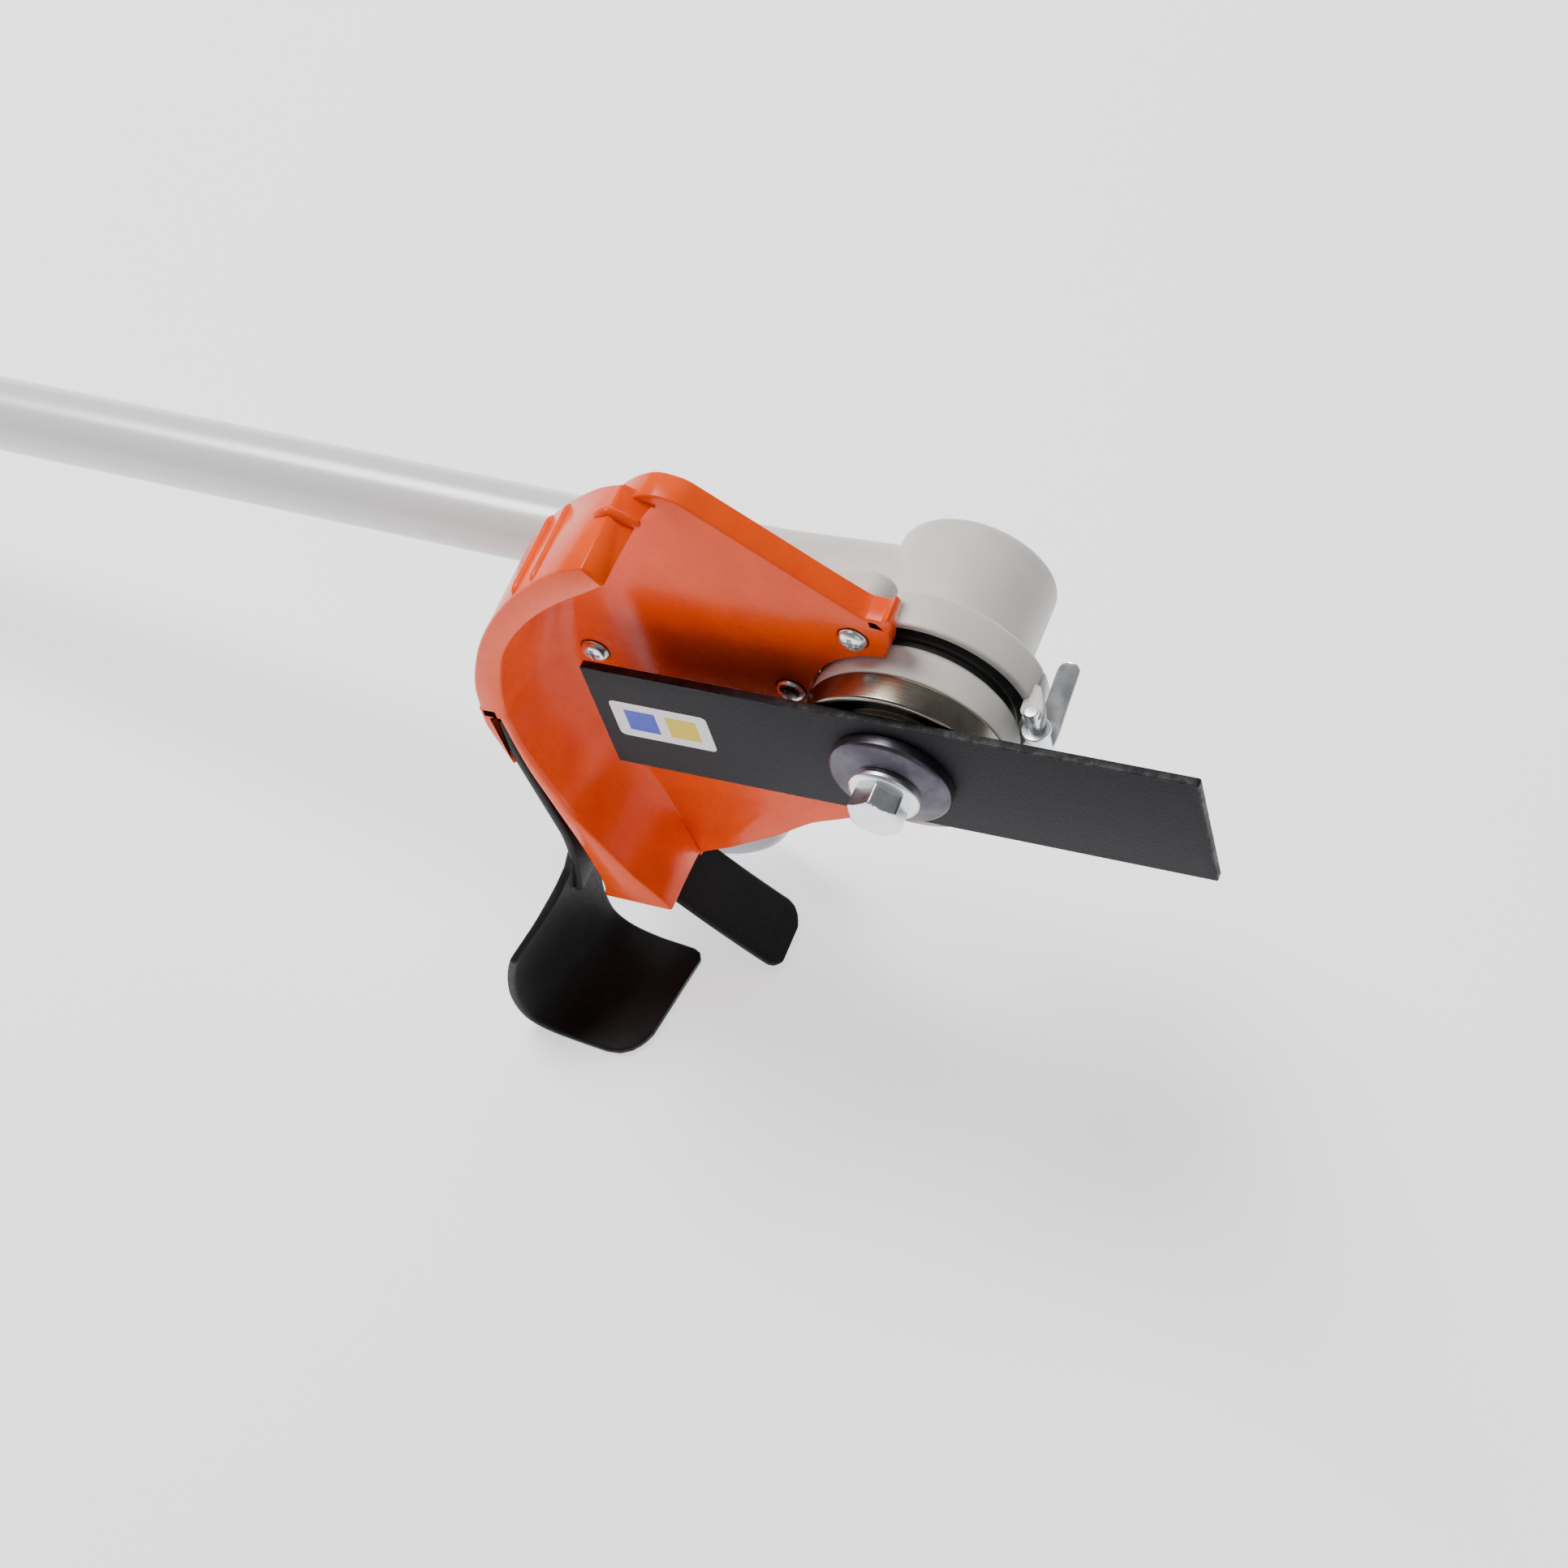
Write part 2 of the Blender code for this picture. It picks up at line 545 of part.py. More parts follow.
def build_output(tool):
    """The spindle with its gear, the output flange, and the blade with its washer and bolt."""
    hole = BOLT_RADIUS + GAP
    turned("spindle", [
        (0, BOLT_END - 2), (hole, BOLT_END - 2), (hole, FLANGE_FRONT - 1.5),
        (SPINDLE_RADIUS, FLANGE_FRONT - 1.5), (SPINDLE_RADIUS, SPINDLE_STEP),
        (SPINDLE_END_RADIUS, SPINDLE_STEP - 2), (SPINDLE_END_RADIUS, CHAMBER_BACK + 0.8),
        (0, CHAMBER_BACK + 0.8)], tool, "gear_steel")
    turned("output_flange", [
        (SPINDLE_RADIUS + GAP, PILOT_FRONT), (PILOT_RADIUS, PILOT_FRONT), (PILOT_RADIUS, FLANGE_FRONT),
        (SEAT_RADIUS, FLANGE_FRONT), (SEAT_RADIUS, FLANGE_FRONT - 2.2),
        (FLANGE_RADIUS - 3.2, FLANGE_FRONT - 2.2), (FLANGE_RADIUS - 2.2, FLANGE_FRONT - 0.1),
        (FLANGE_RADIUS - 0.5, FLANGE_FRONT - 0.1), (FLANGE_RADIUS, FLANGE_FRONT - 0.6),
        (FLANGE_RADIUS, FLANGE_BACK + 0.5), (FLANGE_RADIUS - 0.5, FLANGE_BACK),
        (SPINDLE_RADIUS + GAP, FLANGE_BACK)], tool, "turned_steel", 48)
    blade_outline = [(-BLADE_LENGTH / 2, -BLADE_WIDTH / 2), (BLADE_LENGTH / 2, -BLADE_WIDTH / 2),
                     (BLADE_LENGTH / 2, BLADE_WIDTH / 2), (-BLADE_LENGTH / 2, BLADE_WIDTH / 2)]
    outline_solid("blade", blade_outline, -BLADE_THICKNESS, 0, tool, "black_blade",
                  [((0, 0), PILOT_RADIUS + GAP, ROUND)])
    turned("cup_washer", [
        (hole, CUP_HEIGHT + GAP), (CUP_TOP_RADIUS, CUP_HEIGHT + GAP),
        (CUP_TOP_RADIUS + 0.6, CUP_HEIGHT - 0.4),
        (CUP_RADIUS - 1.0, CUP_EDGE + 1.6), (CUP_RADIUS, CUP_EDGE + 0.7), (CUP_RADIUS, GAP),
        (CUP_RADIUS - 3, GAP), (CUP_RADIUS - 5, 2.0), (CUP_TOP_RADIUS, 3.2), (hole, 3.2)],
        tool, "dark_steel", FINE)
    seat = CUP_HEIGHT + 2 * GAP
    bolt = turned("blade_bolt", [
        (0, seat + BOLT_FLANGE_THICKNESS), (BOLT_FLANGE_RADIUS - 1.5, seat + BOLT_FLANGE_THICKNESS),
        (BOLT_FLANGE_RADIUS, seat + 1), (BOLT_FLANGE_RADIUS, seat), (BOLT_RADIUS, seat),
        (BOLT_RADIUS, BOLT_END), (0, BOLT_END)], tool, "bright_zinc")
    corner = BOLT_HEX / math.sqrt(3)
    head = outline_solid("bolt_hex", circle(corner, 6), seat + 1, seat + BOLT_FLANGE_THICKNESS
                         + BOLT_HEAD_HEIGHT, tool, helper=True)
    dome = turned("bolt_dome", [
        (0, seat + BOLT_FLANGE_THICKNESS + BOLT_HEAD_HEIGHT + 1),
        (0.01, seat + BOLT_FLANGE_THICKNESS + BOLT_HEAD_HEIGHT),
        (BOLT_HEX / 2, seat + BOLT_FLANGE_THICKNESS + BOLT_HEAD_HEIGHT), (corner + 1, seat + 8),
        (corner + 1, seat - 1), (0, seat - 1)], tool, None, helper=True)
    combine(head, "INTERSECT", dome)
    join(bolt, head)


def bevel_gear(name, teeth, mate, parent, place, bore, back, phase, look="gear_steel"):
    """A bevel gear about its parent's z axis with the cones' apex at the place. Each row of points
    goes once round: bore at the face, teeth at the small end, teeth at the large end, back, bore."""
    pitch_radius = GEAR_MODULE * teeth / 2
    cone = math.hypot(pitch_radius, GEAR_MODULE * mate / 2)
    angle = math.atan2(teeth, mate)
    face = cone - FACE_WIDTH

    def tooth_row(distance):
        points = []
        for i in range(teeth):
            for share, height in ((-TOOTH_ROOT / 2, -TOOTH_DEDENDUM), (-TOOTH_TIP / 2, TOOTH_ADDENDUM),
                                  (TOOTH_TIP / 2, TOOTH_ADDENDUM), (TOOTH_ROOT / 2, -TOOTH_DEDENDUM)):
                turn = 2 * math.pi * (i + share) / teeth + phase
                rise = height * GEAR_MODULE * distance / cone
                radius = distance * math.sin(angle) + rise * math.cos(angle)
                depth = distance * math.cos(angle) - rise * math.sin(angle)
                points.append((radius * math.cos(turn), radius * math.sin(turn), depth + place[2]))
        return points

    small, large = tooth_row(face), tooth_row(cone)

    def round_row(radius, depth):
        return [(radius * x / math.hypot(x, y), radius * y / math.hypot(x, y), depth + place[2])
                for x, y, _ in small]

    root = face * math.cos(angle) + TOOTH_DEDENDUM * GEAR_MODULE * face / cone * math.sin(angle)
    base = pitch_radius - TOOTH_DEDENDUM * GEAR_MODULE * math.cos(angle)
    rows = [round_row(bore, root - 0.4), small, large, round_row(base - 0.3, back), round_row(bore, back)]
    shape = bmesh.new()
    verts = [[shape.verts.new(Vector(p) * MM) for p in row] for row in rows]
    count = len(small)
    for row, following in zip(verts, verts[1:] + verts[:1]):
        for i in range(count):
            j = (i + 1) % count
            shape.faces.new((row[i], row[j], following[j], following[i]))
    bmesh.ops.triangulate(shape, faces=shape.faces)
    return add_object(name, mesh_from_bmesh(name, shape), parent, look)


def build_gears(tool, tube):
    """The pair of bevel gears, a tooth of one in a gap of the other, and the pinion's shaft."""
    toward_pinion = math.pi - TUBE_RISE
    bevel_gear("spindle_gear", RING_TEETH, PINION_TEETH, tool, (0, 0, APEX_DEPTH), SPINDLE_RADIUS + GAP,
               GEAR_BACK, toward_pinion)
    half_tooth = math.pi / PINION_TEETH
    bevel_gear("pinion", PINION_TEETH, RING_TEETH, tube, (0, 0, 0), PINION_BORE, PINION_BACK,
               math.pi / 2 + half_tooth)
    turned("pinion_shaft", [
        (0, SHAFT_SOCKET), (DRIVE_SHAFT_END_RADIUS + GAP, SHAFT_SOCKET),
        (DRIVE_SHAFT_END_RADIUS + GAP, PINION_SHAFT_END), (INPUT_SHAFT_RADIUS, PINION_SHAFT_END),
        (INPUT_SHAFT_RADIUS, PINION_BACK + GAP), (PINION_BORE - GAP, PINION_BACK + GAP),
        (PINION_BORE - GAP, PINION_START), (0, PINION_START)], tube, "gear_steel")
    start = PINION_BACK + 1.2
    for i in range(2):
        first = start + i * (INPUT_BEARING_WIDTH + 2.6)
        ring(f"input_bearing_{i + 1}", INPUT_BEARING_RADIUS, INPUT_SHAFT_RADIUS + GAP,
             first + INPUT_BEARING_WIDTH, first, tube, "gear_steel")


def build_drive(tube):
    """The tube with what turns inside it."""
    pipe = ring("drive_tube", TUBE_RADIUS, TUBE_RADIUS - TUBE_WALL, TUBE_END, TUBE_START, tube,
                "white_tube", FINE)
    below = bpy.data.objects["locator_axis"]
    cut(pipe, rod("tube_locator_hole", SCREW_RADIUS + GAP, TUBE_RADIUS + 3, TUBE_RADIUS - 4, below,
                  None, helper=True))
    latch = new_empty("latch_axis", tube, (0, 0, TUBE_END - LATCH_FROM_END),
                      ((0, 1, 0), (0, 0, 1), (1, 0, 0)))
    cut(pipe, rod("latch_hole", LATCH_RADIUS, TUBE_RADIUS + 3, TUBE_RADIUS - 4, latch, None,
                  helper=True))
    shaft_start = PINION_SHAFT_END + 1.0
    socket_start = TUBE_END - COUPLER_INSET - COUPLER_LENGTH
    turned("drive_shaft", [
        (0, socket_start + 12), (DRIVE_SHAFT_END_RADIUS, socket_start + 12),
        (DRIVE_SHAFT_END_RADIUS, socket_start), (DRIVE_SHAFT_RADIUS, socket_start - 1),
        (DRIVE_SHAFT_RADIUS, shaft_start + 1), (DRIVE_SHAFT_END_RADIUS, shaft_start),
        (DRIVE_SHAFT_END_RADIUS, SHAFT_SOCKET + 1), (0, SHAFT_SOCKET + 1)], tube, "gear_steel", SMALL)
    turned("shaft_coupler", [
        (0, socket_start + 13), (SOCKET_RADIUS, socket_start + 13),
        (SOCKET_RADIUS, socket_start + COUPLER_LENGTH),
        (COUPLER_RADIUS - 0.6, socket_start + COUPLER_LENGTH),
        (COUPLER_RADIUS, socket_start + COUPLER_LENGTH - 0.6),
        (COUPLER_RADIUS, socket_start + GAP), (DRIVE_SHAFT_END_RADIUS + GAP, socket_start + GAP),
        (DRIVE_SHAFT_END_RADIUS + GAP, socket_start + 12 + GAP), (0, socket_start + 12 + GAP)],
        tube, "gear_steel")
    span = (socket_start - 60 - shaft_start) / BUSH_COUNT
    for i in range(BUSH_COUNT):
        low = shaft_start + 30 + span * (i + 0.5) - BUSH_LENGTH / 2
        ring(f"shaft_bush_{i + 1}", TUBE_RADIUS - TUBE_WALL - GAP, DRIVE_SHAFT_RADIUS + GAP,
             low + BUSH_LENGTH, low, tube, "black_nylon")


# ---------------------------------------------------------------- guard


def skirt_section(row):
    """One section of the guard's skirt. A row holds the crease, the band's inner and outer edge
    and the outer edge at the back."""
    crease, inner, outer, rim = (Vector(row[i:i + 2]) for i in (0, 2, 4, 6))
    height = SKIRT_FRONT - PLATE_FRONT
    out = (outer - crease).normalized()
    steps = 7
    points = []
    for i in range(steps + 1):
        a = math.pi / 2 * i / steps
        spot = crease + (inner - crease) * math.sin(a)
        points.append((*spot, PLATE_FRONT + height * (1 - math.cos(a))))
    points.append((*outer, SKIRT_FRONT))
    points.append((*rim, SKIRT_BACK))
    points.append((*(crease - out), SKIRT_BACK))
    points.append((*(crease - out), PLATE_FRONT))
    return points


# Lever's wing, as the middle, half width and half thickness of each of its sections
WING = [(38.6, -9.0, -24.6, 3.4, 1.0), (39.6, -7.2, -28.5, 3.6, 0.9), (40.9, -1.6, -36.5, 3.7, 0.9),
        (42.2, 3.0, -43.5, 3.7, 0.9), (42.8, 5.0, -46.6, 3.4, 0.9), (43.0, 5.6, -47.6, 2.2, 0.9)]

# Rows of the skirt from the top end to the step, then from the step to the bottom: crease at the plate's
# front, band's inner edge, band's outer edge, outer edge at the back
SKIRT_TOP = [
    (-65.1, 92.7, -69.7, 89.7, -75.0, 96.9, -75.0, 96.9),
    (-72, 85.5, -77.5, 83.9, -84.5, 92.9, -84.5, 92.9),
    (-81, 76.5, -88.5, 76.3, -96.7, 83.3, -96.7, 83.3),
    (-92, 63.5, -100.8, 65.4, -109, 70.4, -109, 70.4),
    (-101, 49.5, -111.5, 52.4, -120.2, 54.8, -120.2, 54.8),
    (-107.6, 37, -119.2, 39.6, -128, 40.3, -128, 40.3),
    (-111.5, 21.1, -124.8, 23, -134.4, 23, -134.4, 23),
    (-114, 7.5, -127.6, 9, -136.6, 9.5, -136.6, 9.5),
    (-114.6, 4.6, -127.7, 5.2, -136.9, 5.2, -136.9, 5.2)]
SKIRT_LOW = [
    (-114.7, 4.2, -127.6, 4.8, -130.4, 4.6, -130.4, 4.6),
    (-115.7, -10, -127.1, -10, -130.1, -11, -130.1, -11),
    (-115.6, -24.1, -125, -24, -128.9, -24, -128.9, -24),
    (-112.9, -36, -122, -37, -126.6, -37.5, -126.6, -37.5),
    (-110.6, -43.2, -120.2, -46, -125, -47, -125, -47),
    (-104.9, -59.7, -113.5, -61, -122.4, -62, -122, -62),
    (-102.9, -76.4, -106.5, -76.5, -120.6, -76, -120, -78),
    (-101.5, -92, -99, -88.5, -120, -87.7, -119, -94),
    (-101, -106.4, -96.1, -95.4, -121.5, -94.9, -117, -106.8)]
PLATE_TOP = [(1.3, 47.9), (-1.5, 52.5), (-5.8, 53.1), (-14.4, 60), (-22, 66.3), (-29.7, 72.9), (-57.1, 95.9),
             (-63.7, 97.1), (-67.8, 96.9), (-73.4, 94), (-80.4, 88.2), (-76, 82)]
PLATE_LOW = [(-100, -105.6), (-98.6, -104.6), (-87.1, -98.2), (-65.4, -83.3), (-50.7, -71.1),
             (-37.4, -64.3), (-24, -57)]
LIP_OUTLINE = [(-137.1, 8), (-137.2, -1), (-133.8, -20.5), (-132.7, -20.5), (-133.2, -14), (-134, 3),
               (-134, 8)]

# Middle line of the rubber sheet: against the skirt, then the near lobe's two edges, then the far lobe
FLAP_WALL = [(-132.3, 2.5), (-131.9, -15), (-130.6, -29.4), (-128.1, -52.9), (-127.3, -62.7),
             (-128.2, -75.3), (-130.5, -88.6)]
NEAR_SLIT_EDGE = [(-130.5, -88.6), (-133.2, -102), (-135.6, -114), (-136.7, -123.6), (-135.9, -134.4),
                  (-130.5, -142.0)]
NEAR_FRONT_EDGE = [(-137.5, -86.5), (-143.5, -97), (-148.6, -110), (-151.3, -123), (-149.7, -134.5),
                   (-143.5, -140.4)]
NEAR_FLOOR = [(-121.2, -134), (-112, -122), (-104.3, -111)]
FAR_LOBE = [(-130.5, -88.6), (-128, -98), (-121, -109.5), (-110, -121.8), (-98, -136), (-88, -147.0),
            (-78.7, -156.4)]


def floor_height(x, lift):
    """The tool frame's y at which a point at x stands this far above the floor."""
    return (lift - AXIS_HEIGHT - x * math.sin(PITCH)) / math.cos(PITCH)


def skirt_rows():
    return smooth(SKIRT_TOP, 15) + smooth(SKIRT_LOW, 17)


def plate_outline():
    """The plate with an arc cut for the collar. It laps the skirt's crease."""
    crease = [(row[0] - 1.5, row[1]) for row in skirt_rows()[4:-1]]
    start = math.atan2(-33, -14)
    arc = circle(GUARD_BORE, 22, (0, 0), start, math.radians(94) - start - 2 * math.pi)
    return PLATE_TOP + crease + PLATE_LOW + arc


def build_guard(swing):
    """The guard: plate, rear rim, skirt, lip for the flap and bosses behind the screws."""
    guard = outline_solid("guard", plate_outline(), PLATE_BACK, PLATE_FRONT, swing, "orange_paint")
    skirt = swept("guard_skirt", [skirt_section(row) for row in skirt_rows()], swing, helper=True)
    rim = outline_solid("guard_rim", plate_outline(), RIM_BACK, PLATE_BACK + 1, swing, helper=True)
    inside = outline_solid("guard_inside", inset(plate_outline(), RIM_WALL), RIM_BACK - 1, PLATE_BACK,
                           swing, helper=True)
    lip = outline_solid("guard_lip", LIP_OUTLINE, SKIRT_BACK - 0.4, SKIRT_FRONT, swing, helper=True)
    slot = swept("flap_slot", sheet_sections(FLAP_WALL[:4], FLAP_WALL[:4], RIM_BACK - 8, SKIRT_FRONT + 1,
                                             FLAP_THICKNESS + 2 * GAP), swing, helper=True)
    hook = outline_solid("guard_hook", [(-6, 50), (1.3, 47.9), (3.4, 50), (4.4, 54), (3.4, 55.2), (0, 54.6),
                                        (-6, 54)], RIM_BACK, PLATE_FRONT, swing, helper=True)
    cut(rim, inside)
    for piece in (rim, skirt, lip, hook):
        join(guard, piece)
    cut(guard, slot)
    for i, (x, y) in enumerate(RING_SCREWS):
        join(guard, rod(f"ring_boss_{i}", 5.5, PLATE_BACK + 1, RING_FRONT + GAP, swing, None, ROUND,
                        place=(x, y, 0), helper=True))
    for i, (x, y) in enumerate(ARM_SCREWS):
        join(guard, rod(f"arm_boss_{i}", 6.0, PLATE_BACK + 1, ARM_FRONT + GAP, swing, None, ROUND,
                        place=(x, y, 0), helper=True))
    for i, (x, y) in enumerate(RING_SCREWS + ARM_SCREWS):
        cut(guard, rod(f"guard_hole_{i}", SCREW_RADIUS + GAP, PLATE_FRONT + 3, ARM_FRONT - 3, swing,
                       None, place=(x, y, 0), helper=True))
    return guard


def sheet_sections(first, second, low, high, thickness):
    """Sections of a bent sheet between its edge at the low depth and its edge at the high depth."""
    def sides(points):
        pairs = []
        for i, here in enumerate(points):
            before, after = points[max(i - 1, 0)], points[min(i + 1, len(points) - 1)]
            along = Vector((after[0] - before[0], after[1] - before[1])).normalized()
            across = Vector((-along.y, along.x)) * thickness / 2
            pairs.append((Vector(here[:2]) + across, Vector(here[:2]) - across))
        return pairs

    sections = []
    for (a, b), (c, d) in zip(sides(first), sides(second)):
        sections.append([(*a, low), (*b, low), (*d, high), (*c, high)])
    return sections


def build_flap(swing):
    """The rubber flap: one sheet held in the guard's slot, slit into two lobes that reach the floor."""
    half = FLAP_THICKNESS / 2
    flap = swept("rubber_flap", sheet_sections(smooth(FLAP_WALL, 20), smooth(FLAP_WALL, 20), RIM_BACK,
                                               SKIRT_FRONT, FLAP_THICKNESS), swing, "black_rubber")
    slit_edge = NEAR_SLIT_EDGE + [(x, floor_height(x, half)) for x, _ in NEAR_FLOOR]
    front_edge = NEAR_FRONT_EDGE + [(x, floor_height(x, half)) for _, x in NEAR_FLOOR]
    near = swept("near_lobe", sheet_sections(slit_edge, front_edge, FLAP_SLIT, FLAP_FRONT,
                                             FLAP_THICKNESS), swing, helper=True)
    far = swept("far_lobe", sheet_sections(FAR_LOBE, FAR_LOBE, FLAP_BACK, FLAP_SLIT - FLAP_SLIT_WIDTH,
                                           FLAP_THICKNESS), swing, helper=True)
    join(flap, near)
    join(flap, far)


def build_swing(swing):
    """What turns with the guard about the gear head: clamp ring, screws, wheel bracket."""
    lug = hull_of_circles([(0, 0, RING_RADIUS), (*RING_SCREWS[0], 7), (*RING_SCREWS[1], 7),
                           (-34, 40, 5)], ROUND)
    clamp = outline_solid("clamp_ring", lug, RING_BACK + 4, RING_FRONT, swing, "cast_paint")
    band = rod("ring_band", RING_RADIUS, RING_FRONT - 2, RING_BACK, swing, None, FINE, helper=True)
    bore = rod("ring_bore", JOURNAL_RADIUS + GAP, RING_FRONT + 2, RING_BACK - 2, swing, None, FINE,
               helper=True)
    relief = rod("ring_relief", COLLAR_RADIUS + 2 * GAP, RING_FRONT + 2, RING_FRONT - RELIEF_DEPTH, swing,
                 None, FINE, helper=True)
    plane = new_empty("lever_axis", swing, (LEVER_ACROSS, 0, LEVER_DEPTH), ((1, 0, 0), (0, 0, -1), (0, 1, 0)))
    ear = outline_solid("ring_ear", hull_of_circles([(0, 0, 4.6), (-4.3, 9, 3.2)]), EAR_LOW,
                        EAR_LOW + 2 * EAR_THICKNESS + EAR_SLIT, plane, helper=True)
    slit = block("ring_slit", (25, EAR_LOW + EAR_THICKNESS, RING_BACK - 2),
                 (50, EAR_LOW + EAR_THICKNESS + EAR_SLIT, LEVER_DEPTH + 8), swing, helper=True)
    hole = rod("ear_hole", LEVER_SHANK + GAP, EAR_LOW + 2 * EAR_THICKNESS + 4, EAR_LOW - 2, plane, None,
               helper=True)
    for piece in (band, ear):
        join(clamp, piece)
    for cutter in (bore, relief, slit, hole):
        cut(clamp, cutter)
    for i, (x, y) in enumerate(RING_SCREWS):
        cut(clamp, rod(f"ring_tapping_{i}", SCREW_RADIUS + GAP, RING_FRONT + 2, RING_BACK - 1, swing, None,
                       place=(x, y, 0), helper=True))
        screw(f"guard_screw_{i + 1}", swing, PLATE_FRONT + GAP, RING_BACK + 4, (x, y, 0))
    lever = turned("clamp_lever", [
        (0, EAR_LOW + 2 * EAR_THICKNESS + 3), (LEVER_SHANK, EAR_LOW + 2 * EAR_THICKNESS + 3),
        (LEVER_SHANK, EAR_LOW - GAP), (4.7, EAR_LOW - GAP), (4.7, EAR_LOW - 1.8), (3.9, EAR_LOW - 1.8),
        (3.9, EAR_LOW - 12.0), (0, EAR_LOW - 12.0)], plane, "bright_zinc")
    wing = swept("lever_wing", [
        [(x + a, y + b, z) for a, b in ((-half, -lift), (half, -lift), (half, lift), (-half, lift))]
        for x, y, z, half, lift in WING], swing, helper=True)
    join(lever, wing)
    wheel_up = floor_height(WHEEL_ACROSS, WHEEL_RADIUS)
    outline_solid("wheel_arm", hull_of_circles([(*ARM_SCREWS[0], 9), (*ARM_SCREWS[1], 9),
                                                (WHEEL_ACROSS, wheel_up, 10)]),
                  ARM_FRONT - ARM_THICKNESS, ARM_FRONT, swing, "dark_steel",
                  [(p, SCREW_RADIUS + GAP, SMALL) for p in ARM_SCREWS]
                  + [((WHEEL_ACROSS, wheel_up), AXLE_RADIUS + GAP, SMALL)])
    for i, (x, y) in enumerate(ARM_SCREWS):
        join(guard, rod(f"arm_boss_{i}", 6.0, PLATE_BACK + 1, ARM_FRONT + GAP, swing, None, ROUND,
                        place=(x, y, 0), helper=True))
    for i, (x, y) in enumerate(RING_SCREWS + ARM_SCREWS):
        cut(guard, rod(f"guard_hole_{i}", SCREW_RADIUS + GAP, PLATE_FRONT + 3, ARM_FRONT - 3, swing,
                       None, place=(x, y, 0), helper=True))
    return guard


def sheet_sections(first, second, low, high, thickness):
    """Sections of a bent sheet between its edge at the low depth and its edge at the high depth."""
    def sides(points):
        pairs = []
        for i, here in enumerate(points):
            before, after = points[max(i - 1, 0)], points[min(i + 1, len(points) - 1)]
            along = Vector((after[0] - before[0], after[1] - before[1])).normalized()
            across = Vector((-along.y, along.x)) * thickness / 2
            pairs.append((Vector(here[:2]) + across, Vector(here[:2]) - across))
        return pairs

    sections = []
    for (a, b), (c, d) in zip(sides(first), sides(second)):
        sections.append([(*a, low), (*b, low), (*d, high), (*c, high)])
    return sections


def build_flap(swing):
    """The rubber flap: one sheet held in the guard's slot, slit into two lobes that reach the floor."""
    half = FLAP_THICKNESS / 2
    flap = swept("rubber_flap", sheet_sections(smooth(FLAP_WALL, 20), smooth(FLAP_WALL, 20), RIM_BACK,
                                               SKIRT_FRONT, FLAP_THICKNESS), swing, "black_rubber")
    slit_edge = NEAR_SLIT_EDGE + [(x, floor_height(x, half)) for x, _ in NEAR_FLOOR]
    front_edge = NEAR_FRONT_EDGE + [(x, floor_height(x, half)) for _, x in NEAR_FLOOR]
    near = swept("near_lobe", sheet_sections(slit_edge, front_edge, FLAP_SLIT, FLAP_FRONT,
                                             FLAP_THICKNESS), swing, helper=True)
    far = swept("far_lobe", sheet_sections(FAR_LOBE, FAR_LOBE, FLAP_BACK, FLAP_SLIT - FLAP_SLIT_WIDTH,
                                           FLAP_THICKNESS), swing, helper=True)
    join(flap, near)
    join(flap, far)


